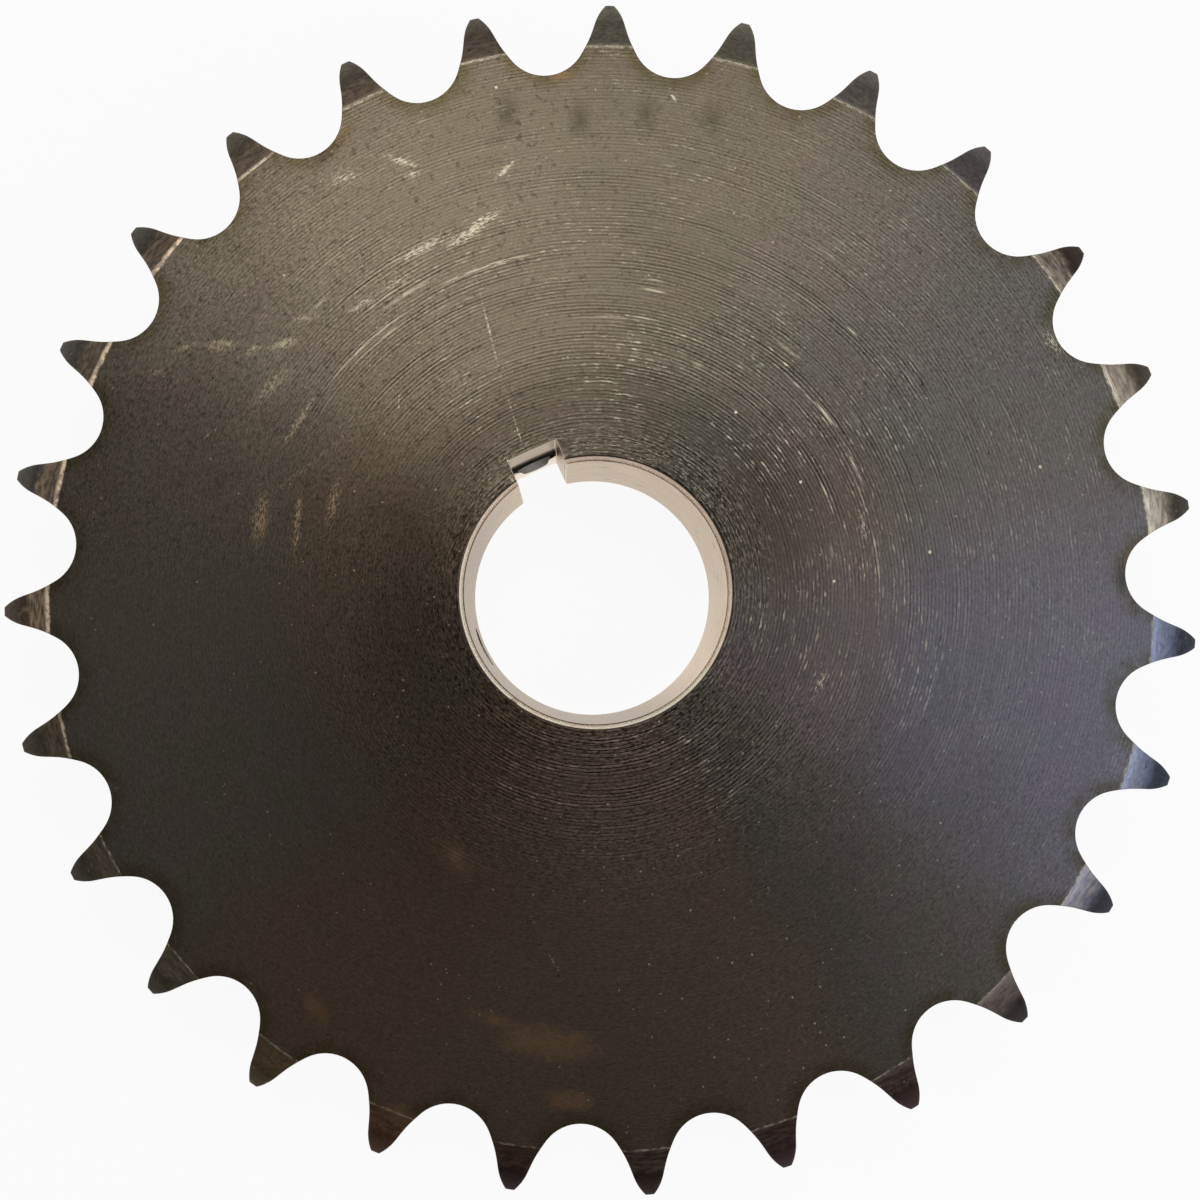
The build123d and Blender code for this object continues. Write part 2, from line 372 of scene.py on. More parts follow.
def turn_blank(bm):
    """Adds the turned surfaces to the toothed rim, which closes the body."""
    ring = ring_at(bm, RING_R, LENGTH)
    for radius, height in section_stops():
        ring = carry_ring(bm, ring, radius, height)
    merge_near(bm)
    bmesh.ops.recalc_face_normals(bm, faces=bm.faces)


bm = toothed_rim()
turn_blank(bm)
print("blank:", len(bm.verts), "points,", len(bm.faces), "faces,", open_edges(bm), "open edges")

# %% [markdown]
# ## Broken edges
# No edge that a lathe or a hob leaves is a perfect line: it is broken with a file or in the tumbler
# by about a tenth of a millimetre. That narrow strip is what catches the light on real steel.

# %% Break the sharp edges
EDGE_BREAK = 0.09
SHARP_DEG = 28
sharp = [e for e in bm.edges if e.calc_face_angle() > math.radians(SHARP_DEG)]
bmesh.ops.bevel(bm, geom=sharp, offset=EDGE_BREAK, offset_type="OFFSET", segments=2, profile=0.5,
                affect="EDGES", material=-1, clamp_overlap=False)
for vertex in bm.verts:
    vertex.co.z = min(max(vertex.co.z, 0.0), LENGTH)
print(len(sharp), "edges broken, volume", round(bm.calc_volume()), "mm3")
print(len(bm.verts), "points,", len(bm.faces), "faces,", open_edges(bm), "open edges")

# %% [markdown]
# ## The keyway
# A broach pulled through the bore leaves a square slot with small radii in its two root corners.
# The slot is one cutter: a cube scaled to the key, its root corners bevelled, with its two ends and
# its mouth flared by a hair, so that the boolean leaves broken edges as a deburring file does.

# %% Broach the keyway
KEYWAY_ROOT_RADIUS = 0.3
DEBURR = 0.12
OVERCUT = 1.0


def keyway_cutter():
    """The slot's solid, standing past both ends of the bore."""
    bm = bmesh.new()
    bmesh.ops.create_cube(bm, size=1)
    half_height = LENGTH / 2 - DEBURR
    bmesh.ops.scale(bm, vec=(KEY_WIDTH, KEYWAY_ROOF, 2 * half_height), verts=bm.verts)
    bmesh.ops.translate(bm, vec=(0, KEYWAY_ROOF / 2, LENGTH / 2), verts=bm.verts)
    root = [e for e in bm.edges if all(v.co.y > 1 for v in e.verts)
            and abs(e.verts[0].co.z - e.verts[1].co.z) > 1]
    bmesh.ops.bevel(bm, geom=root, offset=KEYWAY_ROOT_RADIUS, segments=4, profile=0.5,
                    affect="EDGES", material=-1)
    mouth = math.sqrt(BORE_R**2 - (KEY_WIDTH / 2) ** 2)
    for level in (mouth + DEBURR, mouth - DEBURR):
        bmesh.ops.bisect_plane(bm, geom=everything(bm), plane_co=(0, level, 0), plane_no=(0, 1, 0))
    flared = [v for v in bm.verts if v.co.y < mouth]
    bmesh.ops.scale(bm, vec=(1 + 4 * DEBURR / KEY_WIDTH, 1, 1), verts=flared)
    for end in (1, -1):
        cap = [f for f in bm.faces if f.normal.z * end > 0.99]
        made = bmesh.ops.extrude_face_region(bm, geom=cap)["geom"]
        verts = only(bmesh.types.BMVert, made)
        bmesh.ops.delete(bm, geom=cap, context="FACES_ONLY")
        rise = DEBURR + OVERCUT
        grow = 1 + 2 * rise / KEY_WIDTH
        bmesh.ops.scale(bm, vec=(grow, 1, 1), verts=verts)
        bmesh.ops.translate(bm, vec=(0, rise, end * rise), verts=verts)
    return finish_mesh(bm, "keyway_cutter")


# %% [markdown]
# ## Threads
# Both set screws are 1/4-20. A thread is one groove wound round a cylinder, so its section over
# one pitch is drawn once and spun with a lift: bmesh's spin takes a move per step beside the turn.
# The windings meet point to point and are merged, two flat cuts make the ends, and the same
# function serves screw and tapped hole with a hair of play between them. A stack of rings would be
# quicker, but a ring thread shows at once when you look down the hole.

# %% Wind a thread
THREAD_PITCH = 25.4 / 20
THREAD_MAJOR_R = 6.35 / 2
THREAD_DEPTH = 0.69
THREAD_PLAY = 0.04
THREAD_FLANK_DEG = 30
STEPS_PER_TURN = 36


def thread_solid(name, major_r, minor_r, length):
    """A threaded rod along +Z from the origin, closed at both ends."""
    flank = (major_r - minor_r) * math.tan(math.radians(THREAD_FLANK_DEG))
    root = THREAD_PITCH / 8
    crest = THREAD_PITCH - root - 2 * flank
    bm = draw_section([(minor_r, 0), (minor_r, crest), (major_r, crest + flank),
                       (major_r, crest + flank + root), (minor_r, THREAD_PITCH)])
    turns = math.ceil(length / THREAD_PITCH) + 2
    steps = turns * STEPS_PER_TURN
    bmesh.ops.spin(bm, geom=everything(bm), cent=ORIGIN, axis=AXIS,
                   dvec=(0, 0, THREAD_PITCH / STEPS_PER_TURN), angle=turns * 2 * math.pi, steps=steps)
    merge_near(bm)
    bmesh.ops.translate(bm, vec=(0, 0, -THREAD_PITCH), verts=bm.verts)
    for height, side in ((0.0, -1), (length, 1)):
        cut = bmesh.ops.bisect_plane(bm, geom=everything(bm), dist=HAIR,
                                     plane_co=(0, 0, height), plane_no=(0, 0, side), clear_outer=True)
        bmesh.ops.edgenet_fill(bm, edges=only(bmesh.types.BMEdge, cut["geom_cut"]))
    print(f"{name}: {turns} turns wound, {open_edges(bm)} open edges")
    return bm


# %% [markdown]
# ## Tapped holes and set screws
# One hole goes through the keyway's roof, so that its screw bears on the key, and the other is a
# quarter turn away and bears on the shaft. Each hole is a threaded cutter with a countersunk
# mouth. Each screw is a turned blank, with a cup point and a drilled and broached socket,
# intersected with a thread of the same winding, so the two threads lie in each other's grooves.

# %% Places of the screws
SCREW_HEIGHT = PLATE_BACK / 2
KEY_SCREW_TURN = 0.0
SIDE_SCREW_TURN = math.radians(90)
KEY_SCREW_TIP_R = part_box("keyway_set_screw")[0].y / MM
SIDE_SCREW_TIP_R = -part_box("side_set_screw")[1].x / MM
SCREW_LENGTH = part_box("keyway_set_screw")[1].y / MM - KEY_SCREW_TIP_R
HOLE_MOUTH_R = 3.5
MOUTH_SEGMENTS = 64
PITCHES_RUN_IN = 4
print(f"screws {SCREW_LENGTH:.1f} mm long, tips at {KEY_SCREW_TIP_R:.2f} and {SIDE_SCREW_TIP_R:.2f} mm")


def put_radial(bm, turn, radius):
    """Lays a bmesh's +Z along the radius at a turn from +Y, its origin at that radius."""
    place = (Matrix.Translation((0, 0, SCREW_HEIGHT)) @ Matrix.Rotation(turn, 4, "Z")
             @ Matrix.Rotation(math.radians(-90), 4, "X") @ Matrix.Translation((0, 0, radius)))
    bmesh.ops.transform(bm, matrix=place, verts=bm.verts)


# %% Cutter of a tapped hole, and cutter of its mouth
def hole_cutter(turn, tip_radius):
    """The thread of a tapped hole, wound in step with the screw whose tip is at tip_radius."""
    run_in = PITCHES_RUN_IN * THREAD_PITCH
    bm = thread_solid("tapped hole", THREAD_MAJOR_R, THREAD_MAJOR_R - THREAD_DEPTH,
                      HUB_R + OVERCUT - tip_radius + run_in)
    put_radial(bm, turn, tip_radius - run_in)
    return finish_mesh(bm, "hole_cutter")


def mouth_cutter(turn):
    """The countersink in the hub's outside, at 45 degrees."""
    bm = bmesh.new()
    depth = HOLE_MOUTH_R - (THREAD_MAJOR_R - THREAD_DEPTH)
    bmesh.ops.create_cone(bm, cap_ends=True, segments=MOUTH_SEGMENTS, radius1=HOLE_MOUTH_R - depth,
                          radius2=HOLE_MOUTH_R + OVERCUT, depth=depth + OVERCUT)
    bmesh.ops.translate(bm, vec=(0, 0, (depth + OVERCUT) / 2), verts=bm.verts)
    put_radial(bm, turn, HUB_R - depth)
    return finish_mesh(bm, "mouth_cutter")


# %% Turned blank of a set screw
CUP_RIM_R = 1.6
CUP_RIM_BREAK = 0.08
CUP_RIM_Z = 0.05
CUP_DEPTH = CUP_RIM_R / math.tan(math.radians(59))
OUTER_CHAMFER = 1.1
SOCKET_FLATS = 3.175
SOCKET_DEPTH = 3.2
SOCKET_MOUTH = 0.42
SOCKET_MOUTH_DEPTH = 0.45
DRILL_POINT = 0.9
SCREW_SEGMENTS = 72


def screw_blank():
    """The screw before its thread is cut: cup point, chamfers, and the drilling of the socket."""
    outer = THREAD_MAJOR_R + 0.3
    drill_r = SOCKET_FLATS / 2 - 0.05
    socket_floor = SCREW_LENGTH - SOCKET_DEPTH
    bm = draw_section([
        (0, CUP_DEPTH), (CUP_RIM_R - CUP_RIM_BREAK, CUP_RIM_Z), (CUP_RIM_R + CUP_RIM_BREAK, CUP_RIM_Z),
        (outer, outer - CUP_RIM_R), (outer, SCREW_LENGTH - OUTER_CHAMFER),
        (outer - OUTER_CHAMFER, SCREW_LENGTH), (SOCKET_FLATS / 2 + SOCKET_MOUTH, SCREW_LENGTH),
        (drill_r, SCREW_LENGTH - SOCKET_MOUTH_DEPTH), (drill_r, socket_floor),
        (0, socket_floor - DRILL_POINT),
    ])
    bmesh.ops.spin(bm, geom=everything(bm), cent=ORIGIN, axis=AXIS,
                   angle=2 * math.pi, steps=SCREW_SEGMENTS, use_merge=True)
    merge_near(bm)
    return bm


def hex_cutter():
    """The broach that turns the drilled socket into a hexagon."""
    bm = bmesh.new()
    corner_r = SOCKET_FLATS / math.sqrt(3)
    bmesh.ops.create_cone(bm, cap_ends=True, segments=6, radius1=corner_r, radius2=corner_r,
                          depth=SOCKET_DEPTH + OVERCUT)
    bmesh.ops.translate(bm, vec=(0, 0, SCREW_LENGTH + (OVERCUT - SOCKET_DEPTH) / 2), verts=bm.verts)
    return bm


def set_screw(name, node, turn, tip_radius):
    """A finished set screw in its hole, which stands for the plain CAD screw."""
    pieces = []
    thread = thread_solid(name, THREAD_MAJOR_R - THREAD_PLAY,
                          THREAD_MAJOR_R - THREAD_DEPTH - THREAD_PLAY, SCREW_LENGTH)
    for part, label in ((screw_blank(), name), (thread, "screw_thread"), (hex_cutter(), "hex_cutter")):
        put_radial(part, turn, tip_radius)
        pieces.append(finish_mesh(part, label))
    screw, thread, socket = pieces
    apply_boolean(screw, thread, "INTERSECT")
    apply_boolean(screw, socket, "DIFFERENCE")
    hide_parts(node)
    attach(screw, "root")
    return screw


# %% [markdown]
# ## Writing finishes in millimetres
# Every finish here is procedural: it is worked out from where a point lies on the wheel, so it
# needs no picture and no unwrapping. Machined steel is easy to describe that way, because nearly
# everything on it runs in rings round the axis. Two helpers keep the finishes short. A Finish
# offers each point's x, y and z in millimetres, its radius, and its turn round from the keyway. A
# Value is one output of a node, and sums and products of Values add the Math nodes by themselves.

# %% Value: an output that can be reckoned with
class Value:
    """A node's output; arithmetic with it adds Math nodes."""

    def __init__(self, finish, socket):
        self.finish = finish
        self.socket = socket

    def math(self, operation, *others):
        """One Math node with this value as its first input."""
        return self.finish.add("ShaderNodeMath", self, *others, operation=operation)

    def __add__(self, other):
        return self.math("ADD", other)

    def __sub__(self, other):
        return self.math("SUBTRACT", other)

    def __mul__(self, other):
        return self.math("MULTIPLY", other)

    def __truediv__(self, other):
        return self.math("DIVIDE", other)

    def __abs__(self):
        return self.math("ABSOLUTE")

    def times_plus(self, factor, offset):
        """This value times a factor, plus an offset, in one node."""
        return self.math("MULTIPLY_ADD", factor, offset)

    def ease(self, start, end, low=0.0, high=1.0):
        """Turns start to end into low to high, with soft ends."""
        return self.finish.add("ShaderNodeMapRange", self, start, end, low, high,
                               interpolation_type="SMOOTHSTEP")


# %% Finish: a material written by short calls
class Finish:
    """A material whose nodes work in millimetres; most calls return a Value."""

    def __init__(self, name, metallic, anisotropic=0.0, specular=0.5):
        self.material = bpy.data.materials.new(name)
        self.material.use_nodes = True
        self.tree = self.material.node_tree
        self.shader = self.tree.nodes["Principled BSDF"]
        self.shader.inputs["Metallic"].default_value = metallic
        self.shader.inputs["Anisotropic"].default_value = anisotropic
        self.shader.inputs["Specular IOR Level"].default_value = specular
        self.place = self.scaled(self.add("ShaderNodeTexCoord", output="Object"), 1 / MM)
        self.x, self.y, self.z = self.split(self.place)
        self.radius = (self.x * self.x + self.y * self.y).math("SQRT")
        self.turn = (self.x * -1).math("ARCTAN2", self.y)

    def join(self, value, socket):
        """Links a Value to a socket, or sets the socket to a plain number, vector or colour."""
        if isinstance(value, Value):
            self.tree.links.new(value.socket, socket)
        else:
            socket.default_value = value

    def node(self, kind, *inputs, named=(), **settings):
        """Adds a node, sets its options, and joins its first inputs in order and others by name."""
        node = self.tree.nodes.new(kind)
        for name, setting in settings.items():
            setattr(node, name, setting)
        for value, socket in zip(inputs, node.inputs):
            self.join(value, socket)
        for name, value in named:
            self.join(value, node.inputs[name])
        return node

    def add(self, kind, *inputs, output=0, **settings):
        """Adds a node and returns one of its outputs."""
        return Value(self, self.node(kind, *inputs, **settings).outputs[output])

    def split(self, vector, kind="ShaderNodeSeparateXYZ"):
        """The three numbers of a vector, or of a colour."""
        return [Value(self, part) for part in self.node(kind, vector).outputs]

    def scaled(self, vector, factor):
        """A vector, or a colour, times a number."""
        return self.add("ShaderNodeVectorMath", vector, operation="SCALE", named=[("Scale", factor)])

    def point(self, x, y, z=0.0):
        """A vector from three numbers."""
        return self.add("ShaderNodeCombineXYZ", x, y, z)

    def facing(self, degrees):
        """1 on the side of the wheel at this turn from the keyway, and -1 on the far side."""
        return (self.turn - math.radians(degrees)).math("COSINE")

    def noise(self, size, vector=None, detail=2.0, rough=0.5):
        """Soft noise from 0 to 1 with lumps of about this size."""
        named = [("Scale", 1 / size), ("Detail", detail), ("Roughness", rough)]
        return self.add("ShaderNodeTexNoise", vector or self.place, output="Fac", named=named)

    def ring_noise(self, along, across, shift=0.0, detail=2.0):
        """Noise drawn out along the rings: this long along a ring and this wide across it."""
        section = self.radius / across + self.z / across + shift
        return self.noise(1.0, self.point(self.x / along, self.y / along, section), detail)

    def cells(self, spacing):
        """Points strewn about this far apart: the distance to one, its luck, and its place."""
        node = self.node("ShaderNodeTexVoronoi", self.place, named=[("Scale", 1 / spacing)])
        names = ("Distance", "Color", "Position")
        away, colour, place = (Value(self, node.outputs[name]) for name in names)
        return away, self.split(colour, "ShaderNodeSeparateColor"), place

    def specks(self, spacing, size, share):
        """Small dots: one in each cell of this spacing, kept in this share of the cells."""
        away, luck, _ = self.cells(spacing)
        reach = luck[1].ease(0.0, 1.0, 0.4, 1.0) * (size / spacing)
        return (away / reach).ease(1.0, 0.5) * luck[0].math("LESS_THAN", share)

    def hairlines(self, spacing, length, width, share):
        """Short straight scratches: one in each cell, each lying its own way."""
        _, luck, middle = self.cells(spacing)
        away = self.add("ShaderNodeVectorMath", self.place, middle, operation="SUBTRACT")
        laid = self.add("ShaderNodeVectorRotate", away, rotation_type="Z_AXIS",
                        named=[("Angle", luck[1] * math.pi)])
        along, across = self.split(laid)[:2]
        inside = abs(along).ease(length / 2, length / 4) * abs(across).ease(width / 2, width / 4)
        return inside * luck[0].math("LESS_THAN", share)

    def blend(self, share, first, second, kind="MIX"):
        """Goes from the first colour to the second by a share."""
        node = self.node("ShaderNodeMix", share, data_type="RGBA", blend_type=kind)
        self.join(first, node.inputs[6])
        self.join(second, node.inputs[7])
        return Value(self, node.outputs[2])

    def wear(self, colour, roughness, height, depth):
        """Joins a colour, a roughness and a height to the shader; the depth is in millimetres."""
        self.join(colour, self.shader.inputs["Base Color"])
        self.join(roughness, self.shader.inputs["Roughness"])
        relief = [("Strength", 1.0), ("Distance", depth * MM), ("Height", height)]
        self.join(self.add("ShaderNodeBump", named=relief), self.shader.inputs["Normal"])
        return self.material


def tone(red, green, blue):
    """A linear colour as the nodes want it."""
    return (red, green, blue, 1.0)


def largest(*masks):
    """The largest of several masks at each point."""
    total = masks[0]
    for mask in masks[1:]:
        total = total.math("MAXIMUM", mask)
    return total


# %% [markdown]
# ## Blackened, turned steel
# Hot blackening grows a thin oxide that is not one black. Its shade drifts round the wheel from
# olive over blue-grey to a purple brown, and the ramp that lays it down also paints shade and
# reflection into it: lighter towards the soft boxes, darker away from them. The tool's spiral still
# shows through it: fine ridges under half a millimetre apart, with a painted shade that makes their
# crests lighter, deepest near the hub where the tool ran rough. Two ways to get the drift are a
# painted map and a ramp round the axis; the ramp needs no unwrapping and stays seamless if its first
# and last stop are the same.

# %% The oxide's colour and painted shade round the wheel
OLIVE = tone(0.137, 0.112, 0.079)
DULL_OLIVE = tone(0.110, 0.092, 0.065)
OLIVE_UMBER = tone(0.100, 0.085, 0.063)
WARM_GREY = tone(0.084, 0.073, 0.056)
GREY_UMBER = tone(0.062, 0.051, 0.039)
SLATE = tone(0.067, 0.061, 0.056)
STEEL_GREY = tone(0.079, 0.072, 0.069)
BLUE_GREY = tone(0.094, 0.088, 0.101)
DUSK_GREY = tone(0.071, 0.062, 0.057)
SMOKE = tone(0.056, 0.047, 0.040)
BROWN = tone(0.061, 0.044, 0.033)
RED_SOOT = tone(0.059, 0.041, 0.027)
SOOT = tone(0.051, 0.043, 0.034)
# painted shade and reflection with the oxide's own drift: lighter olive towards the main soft box,
# blue-grey where the side box lights the wheel, dark brown on the side away from both
OXIDE_AND_SHADE_ROUND_WHEEL = (
    (-180, BROWN), (-171, SMOKE), (-157, DUSK_GREY), (-138, BLUE_GREY), (-116, BLUE_GREY),
    (-102, STEEL_GREY), (-80, SLATE), (-56, WARM_GREY), (-26, DULL_OLIVE), (-2, OLIVE), (14, OLIVE),
    (30, OLIVE_UMBER), (44, GREY_UMBER), (60, SOOT), (104, SOOT), (118, RED_SOOT), (150, BROWN),
    (180, BROWN),
)


def shade_round_wheel(finish, shades, drift_degrees, drift_size, between="CARDINAL"):
    """A ramp laid round the wheel, its borders made uneven by noise: the colour, and its alpha."""
    drift = drift_degrees / 360
    moved = finish.noise(drift_size).ease(0.25, 0.75, 0.5 - drift, 0.5 + drift)
    share = finish.turn.times_plus(0.5 / math.pi, moved)
    ramp = finish.node("ShaderNodeValToRGB", share.math("FRACT"))
    ramp.color_ramp.interpolation = between
    stops = ramp.color_ramp.elements
    stops[0].color = shades[0][1]
    stops[1].color = shades[-1][1]
    for degrees, colour in shades[1:-1]:
        stops.new(degrees / 360 + 0.5).color = colour
    return [Value(finish, part) for part in ramp.outputs]


def oxide_and_painted_shade(finish):
    """The oxide's colour on the plate and the hub, with painted shade and reflection round the wheel."""
    return shade_round_wheel(finish, OXIDE_AND_SHADE_ROUND_WHEEL, 3.0, 12.0)[0]


# %% [markdown]
# ## What has happened to this wheel
# The face was knocked and rubbed in the bin, so there are cream-coloured rubs where the oxide is
# worn from the crests, a long scratch out from the keyway, thin arcs where something turned on the
# face, dark finger smudges near the top teeth, and a little rust low down. Each is one row here, in
# the wheel's own coordinates. The texture node's own mapping places it, since a Mapping node for
# each would soon make the shader too big for the renderer.

# %% Strokes that lie anywhere, and arcs that follow a ring
def soft_mark(finish, place, middle, turn, length, width, strength):
    """One soft-edged oval, strongest in its middle."""
    oval = finish.node("ShaderNodeTexGradient", place, gradient_type="SPHERICAL")
    oval.texture_mapping.vector_type = "TEXTURE"
    oval.texture_mapping.translation = middle
    oval.texture_mapping.rotation = (0, 0, turn)
    oval.texture_mapping.scale = (length / 2, width / 2, 1)
    return Value(finish, oval.outputs["Fac"]) * strength


def stroke_mask(finish, strokes):
    """Soft-edged straight marks."""
    flat = finish.point(finish.x, finish.y)
    return largest(*(
        soft_mark(finish, flat, at_polar(radius, math.radians(degrees)), math.radians(degrees - lean),
                  length, width, strength)
        for radius, degrees, length, width, lean, strength in strokes))


def arc_mask(finish, arcs):
    """Soft-edged marks that follow a ring."""
    polar = finish.point(finish.turn, finish.radius)
    return largest(*(
        soft_mark(finish, polar, (math.radians(degrees), radius, 0), 0, length / radius, width, strength)
        for radius, degrees, length, width, strength in arcs))


# %% Rubs, arcs, dots, smudges and rust
RUBS = (
    # radius, degrees anticlockwise from the keyway, length, width, lean outwards, strength
    # round the top, above the keyway
    (57.5, 0.0, 6.5, 1.3, 42, 1.0), (55.5, -0.5, 3.6, 1.2, 17, 0.8), (52.5, -12.0, 4.6, 1.1, -30, 1.0),
    (46.8, 2.5, 12.0, 2.0, 0, 0.85), (46.5, -5.5, 12.0, 2.3, -17, 0.95), (44.8, 9.0, 8.0, 2.0, 10, 0.60),
    (45.0, 15.0, 7.0, 1.8, 12, 0.60), (48.5, 22.5, 7.0, 1.6, 32, 0.60), (61.0, -33.0, 2.8, 0.9, 60, 0.7),
    (59.0, 7.0, 8.0, 3.6, 20, 0.55), (62.5, -85.5, 7.0, 2.5, -10, 0.55),
    (34.0, -2.0, 25.0, 0.45, -82, 0.55), (23.0, 1.0, 13.0, 0.40, -82, 0.60),
    # to the left of the keyway
    (58.0, 35.0, 7.0, 0.9, 39, 0.75), (54.5, 32.5, 6.0, 2.6, 50, 0.95), (51.0, 30.5, 5.5, 1.7, 20, 0.7),
    (48.5, 27.5, 6.5, 1.8, 32, 0.85), (46.5, 33.5, 12.0, 3.4, 11, 0.60), (50.5, 43.5, 3.2, 0.45, 30, 0.9),
    (60.0, 39.5, 5.5, 1.6, 57, 0.55), (33.0, 22.0, 3.4, 0.45, -44, 0.7),
    (41.5, 53.5, 10.5, 3.2, -5, 0.75), (37.0, 53.0, 13.0, 1.7, -8, 0.70),
    (33.5, 47.0, 9.0, 2.4, -6, 0.70), (41.5, 36.0, 10.5, 1.4, 3, 0.80), (38.5, 43.5, 30.0, 1.6, 32, 0.36),
    (48.0, 65.5, 27.0, 0.5, 69, 0.36), (26.5, 50.0, 21.0, 0.45, 62, 0.36),
    (16.4, 12.0, 3.4, 0.7, 80, 0.9),
    # to the right, and below
    (59.0, -98.0, 5.0, 0.4, 40, 0.5), (33.0, -100.0, 6.0, 1.6, 13, 0.50),
    (29.0, -136.0, 6.0, 1.8, 0, 0.50), (44.5, 149.5, 5.5, 0.4, 53, 0.5),
    (55.5, 133.5, 3.8, 0.4, -44, 0.5), (46.0, 120.0, 9.0, 5.0, 30, 0.22),
)
ARCS = (
    # radius, degrees, length, width, strength
    (41.7, -5.5, 16.0, 0.42, 1.8), (42.9, 8.0, 11.0, 0.50, 1.3), (41.0, 19.0, 17.0, 0.50, 1.3),
    (40.2, 17.0, 13.0, 0.42, 1.1), (44.0, 12.0, 9.0, 0.40, 1.0), (48.5, 20.0, 6.0, 0.40, 0.8),
    (37.2, -34.5, 5.4, 0.45, 1.0), (38.5, -35.0, 4.2, 0.40, 0.85), (33.4, -27.0, 14.0, 0.55, 0.75),
    (33.7, -34.0, 6.0, 0.40, 0.70), (30.0, -48.5, 3.4, 1.40, 0.55), (37.3, -62.5, 4.8, 0.45, 0.90),
    (44.1, -68.5, 2.6, 0.40, 1.0), (34.8, -70.0, 9.0, 0.45, 0.75), (35.0, -76.5, 6.0, 0.55, 1.0),
    (37.6, -80.0, 5.0, 0.35, 0.60), (30.1, -91.5, 6.4, 0.50, 1.0), (34.6, -88.5, 7.0, 0.45, 0.85),
    (28.7, -104.0, 4.0, 0.45, 0.70), (33.9, -97.0, 12.0, 0.40, 0.60), (34.0, -108.0, 13.0, 0.45, 0.65),
    (44.8, -76.0, 6.0, 0.40, 0.60), (49.5, -58.5, 7.0, 1.60, 0.45),
)
DOTS = (
    # from here on the columns are those of the rubs
    (55.3, -98.3, 0.55, 0.45, 0, 1.4), (40.3, -107.2, 0.6, 0.5, 0, 1.5), (28.0, -85.8, 0.5, 0.5, 0, 1.3),
    (28.6, -111.4, 0.5, 0.5, 0, 1.3), (27.5, -62.0, 0.55, 0.5, 0, 1.2), (62.7, -13.0, 0.5, 0.5, 0, 1.2),
)
SMUDGES = (
    (59.4, -13.7, 7.0, 4.0, -80, 0.9), (57.5, -22.2, 6.4, 3.6, -88, 0.9),
    (58.3, -30.3, 6.2, 3.6, 84, 0.8), (59.2, -38.0, 5.8, 3.6, 76, 0.7), (56.3, -12.0, 4.0, 1.4, 0, 0.6),
    (62.8, -112.5, 5.0, 2.2, 2, 0.9), (63.0, 8.0, 6.0, 3.0, 0, 0.8), (60.5, 22.0, 7.0, 2.4, 20, 0.4),
)
RUST = (
    (54.0, 150.0, 17.0, 6.0, 0, 0.8), (60.5, 153.0, 8.0, 3.4, 0, 0.8), (66.5, 135.5, 6.0, 3.6, 0, 0.7),
    (63.0, -20.5, 5.0, 1.6, 0, 0.8), (60.0, 122.0, 7.0, 3.5, 30, 0.6), (41.0, 54.5, 5.0, 1.6, -6, 0.6),
    (64.5, -97.5, 4.0, 1.6, 0, 0.6), (64.0, -110.5, 4.0, 1.6, 0, 0.6), (52.5, 143.0, 12.0, 3.0, 0, 0.5),
    (36.0, 128.0, 9.0, 5.0, 20, 0.4), (64.0, 5.0, 6.0, 1.6, 0, 0.7),
)

# %% [markdown]
# ## The turned finish
# One function makes both turned sides. It lays the oxide's colour and its painted shade down,
# breaks it with tints and grain, cuts the spiral, sprinkles bright flecks, some of them painted
# glints, and dark pits, rubs the crest where the tooth chamfer starts, and adds the marks. The same
# ridges that raise the bump are lighter on their crests in the colour, a painted shade of the
# relief, so colour and relief stay in step.

# %% The tool's spiral, and the edges of the tooth spaces
GROOVE_PITCH = 0.43
TOP_TURN = math.radians(24)


def tool_spiral(finish):
    """Height of the tool's spiral from 0 in a groove to 1 on a crest, and how strongly it shows."""
    phase = (finish.radius - finish.z) * (2 * math.pi / GROOVE_PITCH)
    wound = phase - finish.turn + finish.ring_noise(9.0, 2.2) * 5.0
    crest = wound.math("SINE").ease(-1.0, 0.1)
    fading = finish.radius.ease(34.0, 62.0, 1.0, 0.42)
    patchy = finish.ring_noise(14.0, 1.3, shift=70.0).ease(0.34, 0.62, 0.35, 1.0)
    each_groove = finish.ring_noise(12.0, 0.35, shift=55.0).ease(0.32, 0.66, 0.55, 1.4)
    # the spiral shows most on the side towards the soft boxes; in the colour this strength is painted
    # shade, in the bump it is relief
    one_sided = finish.facing(-60).ease(-0.20, 0.40, 0.14, 1.0)
    hub_rings = finish.radius.ease(36.0, 24.0, 0.0, 0.95) * finish.facing(-10).ease(-0.3, -0.9)
    return crest, fading * patchy * largest(one_sided, hub_rings) * each_groove


def near_tooth_space(finish):
    """1 at the edge of a tooth space, falling to 0 within two millimetres."""
    folded = (finish.turn - (TOOTH_FROM_KEYWAY + HALF_TOOTH)).math("WRAP", HALF_TOOTH, -HALF_TOOTH)
    along = finish.radius * folded.math("SINE")
    out = finish.radius * folded.math("COSINE") - PITCH_CIRCLE_R
    return (along * along + out * out).math("SQRT").ease(seat_r + 2.4, seat_r + 0.2)


